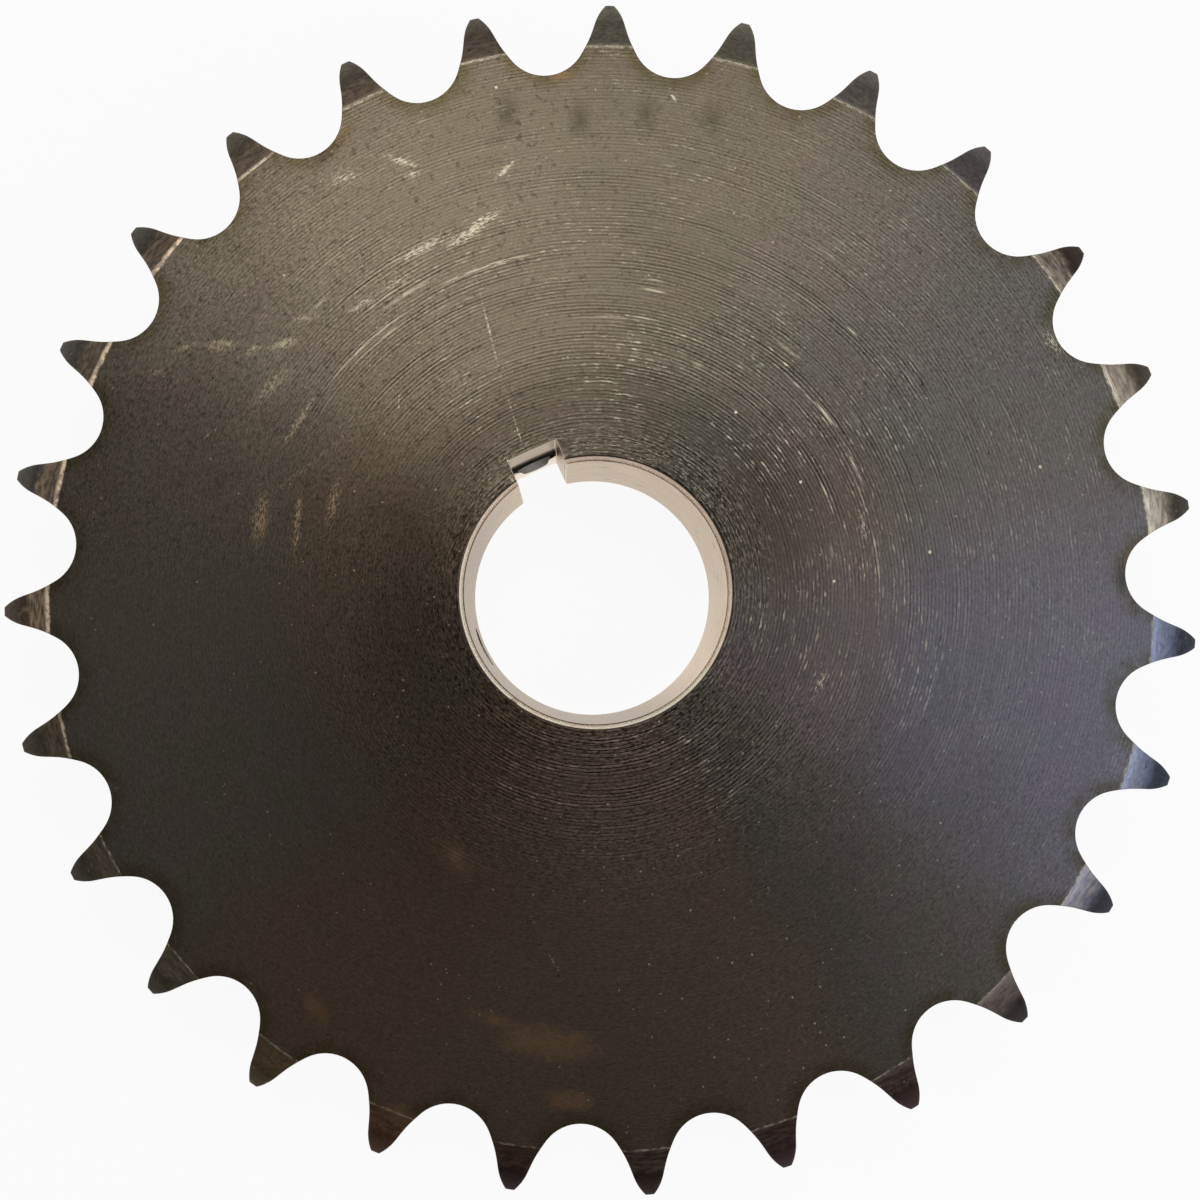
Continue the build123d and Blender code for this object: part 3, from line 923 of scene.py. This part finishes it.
# %% Tooth chamfers
SCUFF_BROWN = tone(0.130, 0.085, 0.062)
DEEP_RED = tone(0.028, 0.013, 0.010)
DARK_RED = tone(0.042, 0.021, 0.020)
DUSK_BROWN = tone(0.118, 0.088, 0.080)
PALE_BLUE = tone(0.170, 0.163, 0.215)
BLUE_STEEL = tone(0.155, 0.175, 0.255)
PALE_STEEL = tone(0.250, 0.215, 0.168)
WARM_STEEL = tone(0.280, 0.225, 0.165)
PURPLE_GREY = tone(0.118, 0.102, 0.102)
GREY_PURPLE = tone(0.142, 0.122, 0.108)
OLIVE_STEEL = tone(0.146, 0.132, 0.094)
TAN_STEEL = tone(0.120, 0.098, 0.074)
GREY_STEEL = tone(0.094, 0.084, 0.070)
BROWN_STEEL = tone(0.085, 0.062, 0.045)
DARK_OLIVE = tone(0.062, 0.053, 0.036)
AMBER_BROWN = tone(0.086, 0.060, 0.029)
RED_BROWN = tone(0.070, 0.034, 0.016)
# painted reflection and shade: each tooth's chamfer is given the colour of what it reflects, pale and
# blue-grey beside the side box, olive beside the main soft box, near-black red-brown on the side away from
# both; the scuffed share is real wear
CHAMFER_REFLECTION_AND_SCUFF_ROUND_WHEEL = (
    # degrees, shade with its painted reflection, how much of it is scuffed
    (-180, DARK_RED, 0.05), (-171, DARK_RED, 0.10), (-159, DUSK_BROWN, 0.12), (-146, PALE_BLUE, 0.35),
    (-132, BLUE_STEEL, 0.15), (-119, BLUE_STEEL, 0.05), (-106, PALE_STEEL, 1.0),
    (-92, WARM_STEEL, 1.0), (-79, SCUFF_BROWN, 0.70), (-66, PURPLE_GREY, 0.06),
    (-52, GREY_PURPLE, 0.06), (-39, OLIVE_STEEL, 0.04), (-26, OLIVE_STEEL, 0.08),
    (-12, TAN_STEEL, 0.25), (1, TAN_STEEL, 0.55), (14, TAN_STEEL, 0.55), (28, GREY_STEEL, 0.60),
    (41, GREY_STEEL, 0.60), (54, GREY_STEEL, 0.85), (68, BROWN_STEEL, 1.0), (81, DARK_OLIVE, 0.25),
    (108, DARK_OLIVE, 0.18), (121, AMBER_BROWN, 0.06), (134, RED_BROWN, 0.12), (150, DEEP_RED, 0.08),
    (163, DEEP_RED, 0.10), (180, DARK_RED, 0.05),
)
CREAM = tone(0.44, 0.40, 0.30)
PALE_SCUFF = tone(0.64, 0.55, 0.45)
TAN_SCUFF = tone(0.46, 0.33, 0.22)
# painted highlight: the bright steel of the worn line on the side away from the lamp
BARE_EDGE_GLINT = tone(0.95, 0.76, 0.55)


def chamfer_wear(finish, colour, grain):
    """The chamfers' painted reflection and shade, their scuffs, their painted dark tips, and the worn line
    where they start, partly a painted highlight.
    """
    beyond = finish.radius - CHAMFER_START_R
    shades = [(degrees, (*shade[:3], share)) for degrees, shade, share in CHAMFER_REFLECTION_AND_SCUFF_ROUND_WHEEL]
    shade, scuffed = shade_round_wheel(finish, shades, 1.0, 6.0, between="EASE")
    edge = beyond + finish.noise(1.3, detail=3.0).times_plus(4.0, -2.0)
    shade = finish.scaled(shade, grain.ease(0.25, 0.75, 0.78, 1.22))
    shade = finish.scaled(shade, edge.ease(0.5, 3.0, 1.25, 1.0))
    streaky = finish.ring_noise(1.5, 0.25, shift=20.0, detail=3.0).ease(0.36, 0.62, 0.2, 1.0)
    left = (finish.turn + TOP_TURN).math("SINE").ease(-0.3, 0.3)
    scuff = finish.blend(left, PALE_SCUFF, TAN_SCUFF)
    chamfer = finish.blend(scuffed * edge.ease(3.5, 2.0) * streaky, shade, scuff)

    # painted shade: the tips are darker, darkest beside the blue chamfers
    tip_painted_shade = finish.facing(-119).ease(0.60, 0.80, 0.95, 0.24)
    tip_painted_shade = tip_painted_shade - finish.facing(120).ease(0.7, 0.95, 0.0, 0.30)
    tip = (beyond + finish.noise(2.5).times_plus(1.6, -0.8)).ease(2.3, 4.3)
    chamfer = finish.blend(tip, chamfer, finish.scaled(chamfer, tip_painted_shade))
    colour = finish.blend(beyond.ease(-0.05, 0.10), colour, chamfer)

    # the worn line is real wear; on the side that faces away from the lamp it is also a painted highlight,
    # wide, warm, bright and nearly unbroken
    lit_less = finish.facing(50).ease(0.66, 0.99)
    shifted = beyond + finish.noise(1.2).times_plus(0.5, -0.25)
    line = (abs(shifted) * lit_less.ease(0.0, 1.0, 1.0, 0.38)).ease(0.17, 0.05)
    broken = finish.noise(0.6, detail=3.0).ease(0.36, 0.62, lit_less.times_plus(0.25, 0.10), 1.0)
    by_side = largest(scuffed.ease(0.0, 0.4, 0.45, 1.0), lit_less)
    return finish.blend(line * broken * by_side, colour, finish.blend(lit_less, CREAM, BARE_EDGE_GLINT))


# %% How strongly the texture and the spiral's painted shade show, round the wheel
TEXTURE_AND_SHADE_ROUND_WHEEL = (
    # degrees, share of the full texture and painted shade
    (-180, 0.50), (-155, 0.60), (-125, 0.42), (-98, 0.50), (-78, 0.80), (-55, 0.78), (-36, 0.52),
    (-20, 0.40), (-4, 0.48), (14, 0.86), (35, 0.95), (54, 0.72), (70, 0.42), (110, 0.36), (150, 0.36),
    (180, 0.50),
)
FULL_TEXTURE_AND_SHADE = 1.65


def texture_and_shade_strength(finish):
    """How strong the texture and the spiral's painted shade are: by direction, and stronger near the hub
    at the lower left.
    """
    shades = [(degrees, (share,) * 4) for degrees, share in TEXTURE_AND_SHADE_ROUND_WHEEL]
    share = shade_round_wheel(finish, shades, 6.0, 14.0, between="EASE")[1]
    near_hub = finish.radius.ease(42.0, 26.0) * finish.facing(135).ease(-0.2, 0.5, 0.0, 0.75)
    return (share + near_hub) * FULL_TEXTURE_AND_SHADE


# %% Shade of the turned sides, before their wear
WARM_TINT = tone(1.13, 1.0, 0.85)
GREEN_TINT = tone(0.985, 1.015, 0.99)
PURPLE_TINT = tone(1.02, 0.985, 1.01)


def turned_shade(finish, grain, crest, strength, rough_cut):
    """The oxide's colour with its tints, painted shade towards the bore, painted light on the sides, the
    spiral and the grain.
    """
    tint = finish.blend(finish.noise(6.0).ease(0.38, 0.62), GREEN_TINT, PURPLE_TINT)
    colour = finish.blend(1.0, oxide_and_painted_shade(finish), tint, "MULTIPLY")
    from_top = finish.turn + TOP_TURN
    # painted shade: darker towards the bore, most on the side of the main soft box
    painted_shade_near_bore = from_top.math("COSINE").ease(-1.0, 1.0, 0.92, 0.66)
    colour = finish.scaled(colour, finish.radius.ease(20.0, 33.0).ease(0.0, 1.0, painted_shade_near_bore, 1.0))
    # painted light and shade: on both sides, and more on the side away from the lamps, the face grows
    # lighter outwards and darker towards the hub
    aside = abs(from_top.math("SINE"))
    outwards = finish.radius.ease(18.0, 66.0, -0.32, 0.36)
    lit_aside = aside + finish.facing(110).ease(0.45, 1.0, 0.0, 0.6)
    colour = finish.scaled(colour, lit_aside.times_plus(outwards, 1.0))
    warm = finish.radius.ease(42.0, 32.0) * aside.ease(0.55, 0.98)
    colour = finish.blend(warm, colour, finish.blend(1.0, colour, WARM_TINT, "MULTIPLY"))

    # painted shade: the spiral's crests are lighter and its grooves darker in the colour, as light on the
    # relief would show them
    painted_ridge_shade = ((crest - 0.6) * strength).times_plus(0.62, 1.0)
    dust = finish.ring_noise(0.30, 0.15, shift=90.0) - 0.5
    hairs = finish.ring_noise(4.0, 0.13, shift=25.0) - 0.5
    mottle = (grain - 0.5) * rough_cut.ease(0.0, 1.0, 1.3, 2.4) + dust * 1.1 + hairs * (strength * 1.3)
    texture = painted_ridge_shade * (mottle + 1.0) - 1.0
    return finish.scaled(colour, texture.times_plus(texture_and_shade_strength(finish), 1.0))


# %% Pits, bright flecks and rubs of the turned sides
def pit_mask(finish, rough_cut):
    """Dark pits: dots, ragged ones, ticks along the rings, short cuts, and torn metal by the bore."""
    upper_left = finish.facing(15).ease(0.45, 0.9, 0.12, 1.0)
    return largest(
        finish.specks(1.9, 0.22, 0.45) * 0.9,
        finish.ring_noise(1.4, 0.24, shift=9.0).ease(0.50, 0.62) * rough_cut,
        finish.noise(0.9, detail=4.0, rough=0.65).ease(0.58, 0.66) * upper_left * 0.8,
        finish.ring_noise(0.9, 0.20, shift=31.0).ease(0.64, 0.74) * 0.6,
        finish.hairlines(2.3, 0.8, 0.20, 0.40) * upper_left * 0.7,
    )


def fleck_mask(finish, crest, strength, rough_cut):
    """Bright flecks: dots, hair scratches, crests where the oxide has worn off, and chatter by the bore
    with a painted glint towards the main soft box.
    """
    flecks = finish.ring_noise(1.1, 0.30, shift=40.0, detail=3.0)
    worn_crests = flecks.ease(0.54, 0.70) * crest.ease(0.3, 0.9)
    worn_where = finish.noise(9.0).ease(0.40, 0.64, 0.08, 0.60) * strength
    chatter = finish.ring_noise(0.7, 0.14, shift=63.0).ease(0.54, 0.68)
    # painted glint: the chatter by the bore is brightest on the side towards the main soft box
    painted_glint = finish.facing(-30).ease(-0.3, 0.9, 0.12, 0.40)
    return largest(
        finish.specks(1.3, 0.17, 0.6) * finish.facing(120).ease(-0.5, 0.6, 0.35, 0.62),
        finish.specks(7.5, 0.26, 0.5) * 0.85,
        finish.hairlines(4.0, 1.2, 0.07, 0.35) * 0.22,
        worn_crests * worn_where,
        chatter * (rough_cut * painted_glint),
    )


def rub_mask(finish):
    """Rubs and arcs, broken up into flecks that follow the rings, and the single bright dots."""
    rubs = stroke_mask(finish, RUBS)
    fibres = finish.ring_noise(0.5, 0.15, shift=3.0, detail=3.0)
    strongest = finish.facing(60).ease(0.75, 1.0, 0.92, 0.55)
    rubbed = rubs.times_plus(0.24, fibres).ease(0.56, 0.76) * rubs.ease(0.0, 0.55, 0.0, strongest)
    chips = finish.ring_noise(1.8, 0.12, shift=17.0, detail=3.0).ease(0.39, 0.58)
    scored = arc_mask(finish, ARCS).ease(0.1, 0.8, 0.0, 0.80) * chips
    return largest(rubbed, scored, stroke_mask(finish, DOTS).ease(0.1, 0.7))


# %% The turned sides
TURNED_RELIEF = 0.012
OLIVE_STAIN = tone(0.68, 0.66, 0.48)
RUST_BROWN = tone(0.185, 0.105, 0.045)
# painted shade: the darker tan of the bright flecks and rubs on the side away from the lamps
SHADED_FLECK_TAN = tone(0.30, 0.22, 0.12)


def turned_oxide(name, marked):
    """The blackened turned sides; only the toothed face carries the marks."""
    finish = Finish(name, metallic=0.92, anisotropic=0.35)
    round_axis = finish.point(finish.y * -1, finish.x)
    ring_way = finish.add("ShaderNodeVectorMath", round_axis, operation="NORMALIZE")
    finish.join(ring_way, finish.shader.inputs["Tangent"])
    grain = finish.ring_noise(0.55, 0.26, detail=3.0)
    crest, strength = tool_spiral(finish)
    rough_cut = finish.radius.ease(25.0, 16.0)
    colour = turned_shade(finish, grain, crest, strength, rough_cut)

    seat_edge = near_tooth_space(finish) * finish.noise(2.0).ease(0.2, 0.6)
    stained = finish.blend(1.0, colour, OLIVE_STAIN, "MULTIPLY")
    colour = chamfer_wear(finish, finish.blend(seat_edge, colour, stained), grain)
    colour = finish.scaled(colour, pit_mask(finish, rough_cut).times_plus(-0.48, 1.0))
    bright = fleck_mask(finish, crest, strength, rough_cut)
    if marked:
        bright = largest(bright, rub_mask(finish))
        rusty = (stroke_mask(finish, RUST) * finish.noise(1.6, detail=4.0)).ease(0.02, 0.30)
        colour = finish.blend(rusty, colour, finish.blend(0.42, colour, RUST_BROWN))
        uneven = finish.noise(1.4, detail=3.0).ease(0.25, 0.55, 0.5, 1.0)
        smudged = stroke_mask(finish, SMUDGES) * uneven
        colour = finish.scaled(colour, smudged.times_plus(-0.50, 1.0))
    # painted shade: bright flecks and rubs are a darker tan on the side away from the lamps
    shaded_side = finish.facing(100).ease(0.0, 0.7)
    colour = finish.blend(bright, colour, finish.blend(shaded_side, CREAM, SHADED_FLECK_TAN))
    height = crest.times_plus(strength, grain * 0.6)
    return finish.wear(colour, grain.times_plus(0.16, 0.36), height, TURNED_RELIEF)


# %% [markdown]
# ## Hobbed flanks, bored steel, thread and screws
# A hob feeds along the axis, so the tooth flanks show faint bands across their width. The bore and
# keyway were cut after blackening: warm bright steel with fine feed rings and a few pits. Black
# grease fills the threads, and the set screws are black all over.

# %% Tooth flanks
HOB_FEED = 1.4
HOBBED_RELIEF = 0.010
TAN = tone(0.35, 0.30, 0.235)


def hobbed_oxide():
    """Dark oxide with its painted shade on the tooth flanks, with the hob's feed bands."""
    finish = Finish("hobbed_oxide", metallic=0.9)
    bands = finish.z.times_plus(2 * math.pi / HOB_FEED, finish.noise(3.0) * 3.0).math("SINE")
    grain = finish.noise(0.5, detail=3.0)
    colour = finish.scaled(oxide_and_painted_shade(finish), grain.ease(0.3, 0.7, 0.42, 0.80))
    colour = finish.blend(finish.specks(1.6, 0.3, 0.3) * 0.5, colour, TAN)
    colour = finish.blend(finish.noise(2.4).ease(0.56, 0.74, 0.0, 0.5), colour, SCUFF_BROWN)
    return finish.wear(colour, grain.times_plus(0.2, 0.32), bands.times_plus(0.5, grain), HOBBED_RELIEF)


# %% Bore and keyway
BORE_FEED = 0.22
BORED_RELIEF = 0.005
GREASE_SPECULAR = 0.02
BRIGHT_STEEL = tone(0.80, 0.64, 0.50)
DULL_STEEL = tone(0.66, 0.52, 0.40)
PIT_BROWN = tone(0.16, 0.12, 0.085)
WARM_EDGE = tone(1.0, 0.90, 0.76)
NEAR_WHITE_ROOF = tone(1.0, 0.99, 0.97)
NEAR_BLACK = tone(0.012, 0.011, 0.009)
# the dark line at the chamfer's outer edge goes all round; the lines that grow at the lower left are
# painted highlight and painted reflection, a bright line and a dark one in the bore's chamfer
RIM_LINES_AND_GLINTS = (
    # millimetres out from the bore, half width, shade, strength all round, more at the lower left
    (0.64, 0.14, tone(0.040, 0.030, 0.024), 0.95, 0.0), (0.34, 0.10, tone(0.95, 0.82, 0.66), 0.15, 0.75),
    (0.04, 0.10, tone(0.14, 0.10, 0.07), 0.15, 0.75),
)


def roof_by_screw(finish):
    """1 on the keyway's roof, and 1 in a near-black patch on the roof, on the toothed face's side of the
    screw.
    """
    on_roof = finish.y.ease(BORE_R + 1.0, BORE_R + 1.6) * abs(finish.x).ease(3.14, 3.04)
    up = finish.z - SCREW_HEIGHT
    reach = (up * up + finish.x * finish.x).math("SQRT") + finish.noise(1.5, detail=3.0)
    return on_roof, reach.ease(11.5, 6.0) * up.ease(-1.0, 1.0) * on_roof


def bored_steel():
    """Bright warm steel with fine feed rings, drawn-out stains and a few soft pits, painted lighter where
    the wall faces the main soft box, with painted highlight and reflection on the rim.
    """
    finish = Finish("bored_steel", metallic=0.9, anisotropic=0.3, specular=GREASE_SPECULAR)
    finish.shader.inputs["Specular Tint"].default_value = WARM_EDGE
    feed = ((finish.z + finish.radius) * (2 * math.pi / BORE_FEED)).math("SINE")
    grain = finish.noise(0.5)
    colour = finish.blend(finish.ring_noise(4.0, 1.4).ease(0.40, 0.70), BRIGHT_STEEL, DULL_STEEL)
    colour = finish.scaled(colour, grain.ease(0.3, 0.7, 0.95, 1.04))
    pits = largest(finish.specks(3.6, 0.8, 0.5) * 0.9,
                   finish.noise(0.8, detail=3.0).ease(0.68, 0.76) * 0.35)
    colour = finish.blend(pits, colour, PIT_BROWN)
    # painted light and shade: the bore's wall is lighter where it faces the main soft box and darker where
    # it faces away
    colour = finish.scaled(colour, finish.facing(-45).ease(-0.8, 0.9, 1.20, 0.72))

    on_roof, dark_patch = roof_by_screw(finish)
    colour = finish.scaled(colour, on_roof.times_plus(-0.42, 1.0))
    # a near-black patch on the roof beside the screw, also dull and less metallic
    colour = finish.blend(dark_patch, colour, NEAR_BLACK)
    # the roof's far strip, below 8 mm from the hub's end, is near white
    colour = finish.blend(finish.z.ease(8.2, 7.2) * on_roof, colour, NEAR_WHITE_ROOF)
    finish.join(dark_patch.times_plus(-0.9, 0.9), finish.shader.inputs["Metallic"])

    from_rim = finish.radius - BORE_R
    on_chamfer = from_rim.ease(0.0, 0.1) * finish.y.ease(BORE_R + 1.0, BORE_R + 0.6)
    colour = finish.scaled(colour, on_chamfer.times_plus(0.45, 1.0))
    lower_left = finish.facing(110).ease(-0.3, 0.5)
    off_roof = on_roof.times_plus(-1.0, 1.0)
    # the rim's lines; at the lower left they are painted highlight and painted reflection
    for place, half_width, shade, all_round, more in RIM_LINES_AND_GLINTS:
        line = abs(from_rim - place).ease(half_width, half_width / 3)
        line = line * lower_left.times_plus(more, all_round)
        colour = finish.blend(line * off_roof, colour, shade)
    roughness = dark_patch.times_plus(0.6, grain.times_plus(0.14, 0.22))
    return finish.wear(colour, roughness, feed.times_plus(0.25, grain) - pits, BORED_RELIEF)


# %% Threads and set screws
THREAD_RELIEF = 0.008
SCREW_RELIEF = 0.006


def tapped_steel():
    """Threads full of black grease."""
    finish = Finish("tapped_steel", metallic=0.0, specular=GREASE_SPECULAR)
    grain = finish.noise(0.3, detail=3.0)
    colour = finish.blend(grain.ease(0.3, 0.7), tone(0.004, 0.004, 0.003), tone(0.010, 0.008, 0.007))
    return finish.wear(colour, grain.times_plus(0.2, 0.6), grain, THREAD_RELIEF)


def countersunk_steel():
    """Dull cut steel in the mouths of the two tapped holes."""
    finish = Finish("countersunk_steel", metallic=0.85)
    grain = finish.noise(0.4, detail=3.0)
    patches = finish.noise(1.4).ease(0.35, 0.65)
    colour = finish.blend(patches, tone(0.20, 0.165, 0.13), tone(0.10, 0.082, 0.064))
    colour = finish.scaled(colour, grain.ease(0.3, 0.7, 0.75, 1.2))
    return finish.wear(colour, grain.times_plus(0.2, 0.3), grain, THREAD_RELIEF)


def black_screw_steel():
    """Black oxide alloy steel with a few rubbed specks, darker towards the cup point."""
    finish = Finish("black_screw_steel", metallic=0.0, specular=0.03)
    grain = finish.noise(0.25, detail=3.0)
    colour = finish.blend(grain.ease(0.35, 0.7), tone(0.010, 0.010, 0.011), tone(0.026, 0.025, 0.024))
    colour = finish.blend(finish.specks(0.9, 0.16, 0.35), colour, tone(0.16, 0.14, 0.12))
    # darker towards the cup point, which stands in the bore
    colour = finish.scaled(colour, finish.radius.ease(BORE_R + 4.0, BORE_R + 7.0, 0.20, 1.0))
    return finish.wear(colour, grain.times_plus(0.22, 0.38), grain, SCREW_RELIEF)


# %% Sort the blank's faces by the tool that cut them
FACE_FINISH, BACK_FINISH, FLANK_FINISH, BORE_FINISH = range(4)
FLANK_SLOPE = 0.35


def finish_of(face):
    """Which of the blank's four finishes a face has."""
    middle = face.calc_center_median()
    radius = middle.xy.length
    if radius < BORE_R + BORE_CHAMFER + EDGE_BREAK and (
            EDGE_BREAK < middle.z < LENGTH - EDGE_BREAK or radius < BORE_R + BORE_CHAMFER):
        return BORE_FINISH
    if radius > RING_R and abs(face.normal.z) < FLANK_SLOPE:
        return FLANK_FINISH
    return FACE_FINISH if middle.z > PLATE_MIDDLE else BACK_FINISH


for face in bm.faces:
    face.material_index = finish_of(face)

finishes = {
    "face": turned_oxide("turned_oxide_face", marked=True),
    "back": turned_oxide("turned_oxide_back", marked=False),
    "flank": hobbed_oxide(),
    "bore": bored_steel(),
    "thread": tapped_steel(),
    "mouth": countersunk_steel(),
    "screw": black_screw_steel(),
}

# %% Cut the body and make the screws
def coated(piece, finish_name):
    """Gives a whole piece one finish, which a boolean passes on to what the piece cuts."""
    piece.data.materials.append(finishes[finish_name])
    return piece


body = finish_mesh(bm, "sprocket_body")
for name in ("face", "back", "flank", "bore"):
    body.data.materials.append(finishes[name])
apply_boolean(body, coated(keyway_cutter(), "bore"), "DIFFERENCE")
for turn, tip_radius, inside in ((KEY_SCREW_TURN, KEY_SCREW_TIP_R, "thread"),
                                 (SIDE_SCREW_TURN, SIDE_SCREW_TIP_R, "mouth")):
    apply_boolean(body, coated(hole_cutter(turn, tip_radius), inside), "DIFFERENCE")
    apply_boolean(body, coated(mouth_cutter(turn), "mouth"), "DIFFERENCE")
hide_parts("sprocket")
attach(body, "root")
key_screw = set_screw("keyway_screw", "keyway_set_screw", KEY_SCREW_TURN, KEY_SCREW_TIP_R)
side_screw = set_screw("side_screw", "side_set_screw", SIDE_SCREW_TURN, SIDE_SCREW_TIP_R)
for piece in (body, key_screw, side_screw):
    print(f"{piece.name}: {len(piece.data.vertices)} points, {len(piece.data.polygons)} faces")


# %% [markdown]
# ## Shading
# Rounded surfaces are shaded smooth, and edges over 40 degrees stay crisp. The ring where the
# tooth chamfer starts bends by only 15 degrees, and though it is a clear line on a turned wheel it
# is shaded smooth with the rest. A weighted normal keeps the big flats flat beside their narrow
# broken edges.

# %% Shade smooth with crisp edges
def shade(piece, crisp_deg=40):
    """Smooth shading that keeps hard edges and flat faces."""
    piece.data.shade_smooth()
    piece.data.set_sharp_from_angle(angle=math.radians(crisp_deg))
    weigh = piece.modifiers.new("flat faces stay flat", "WEIGHTED_NORMAL")
    weigh.keep_sharp = True
    weigh.weight = 100


for piece in (body, key_screw, side_screw):
    shade(piece)

# %% [markdown]
# ## Studio
# A soft box over the far side of the wheel, a ceiling that is darker than the walls, and a white
# floor. The wheel's face reflects the ceiling and the soft box, so it falls off gently from the
# side of the box to the side away from it, as it would on a bench under a window; the oxide's ramp
# paints more of that fall into the colour as painted shade.

# %% Floor, soft boxes and room
SOFT_BOXES = (
    # name, degrees anticlockwise from the keyway, metres out, up and across, watts, colour
    ("main_box", -32.0, 0.15, 0.50, 0.20, 0.85, (1.0, 0.98, 0.94)),
    ("side_box", -126.0, 0.36, 0.42, 0.30, 0.7, (0.84, 0.91, 1.0)),
)
FLOOR_HALF = 3.0
FLOOR_GREY = tone(0.8, 0.8, 0.8)
WHITE_SHARE = 0.93
CEILING_GREY = 0.22
WALL_TOP_DEG = 4
CEILING_DEG = 20


def floor_material():
    """Pale floor: white where the camera or a reflection sees it, and it still takes a shadow."""
    finish = Finish("studio_floor", metallic=0.0, specular=0.1)
    finish.join(FLOOR_GREY, finish.shader.inputs["Base Color"])
    finish.join(0.9, finish.shader.inputs["Roughness"])
    path = finish.node("ShaderNodeLightPath").outputs
    rays = ("Is Camera Ray", "Is Glossy Ray", "Is Transmission Ray")
    seen = largest(*(Value(finish, path[ray]) for ray in rays))
    lit = Value(finish, finish.shader.outputs[0])
    mixed = finish.add("ShaderNodeMixShader", seen * WHITE_SHARE, lit, finish.add("ShaderNodeEmission"))
    finish.join(mixed, finish.tree.nodes["Material Output"].inputs["Surface"])
    return finish.material


def make_floor():
    """A large plain floor under the hub."""
    bm = bmesh.new()
    bmesh.ops.create_grid(bm, x_segments=1, y_segments=1, size=FLOOR_HALF / MM)
    floor = finish_mesh(bm, "floor")
    floor.data.materials.append(floor_material())


def make_soft_box(name, degrees, out, up, across, watts, colour):
    """A square lamp aimed at the wheel."""
    lamp = bpy.data.lights.new(name, "AREA")
    lamp.size = across
    lamp.energy = watts
    lamp.color = colour
    box = bpy.data.objects.new(name, lamp)
    box.location = at_polar(out, math.radians(degrees), up)
    box.rotation_euler = (-box.location).to_track_quat("-Z", "Y").to_euler()
    bpy.context.scene.collection.objects.link(box)


def make_room():
    """White walls a little above the horizon, which darken to a grey ceiling."""
    room = bpy.data.worlds.new("room")
    bpy.context.scene.world = room
    room.use_nodes = True
    tree = room.node_tree
    where = tree.nodes.new("ShaderNodeTexCoord")
    height = tree.nodes.new("ShaderNodeSeparateXYZ")
    fade = tree.nodes.new("ShaderNodeMapRange")
    fade.interpolation_type = "SMOOTHSTEP"
    limits = (math.sin(math.radians(WALL_TOP_DEG)), math.sin(math.radians(CEILING_DEG)), 1.0, CEILING_GREY)
    for name, limit in zip(("From Min", "From Max", "To Min", "To Max"), limits):
        fade.inputs[name].default_value = limit
    tree.links.new(where.outputs["Generated"], height.inputs[0])
    tree.links.new(height.outputs["Z"], fade.inputs["Value"])
    tree.links.new(fade.outputs[0], tree.nodes["Background"].inputs["Strength"])
    tree.nodes["Background"].inputs["Color"].default_value = tone(1, 1, 1)


make_floor()
for soft_box in SOFT_BOXES:
    make_soft_box(*soft_box)
make_room()
bpy.context.scene.view_settings.view_transform = "Standard"
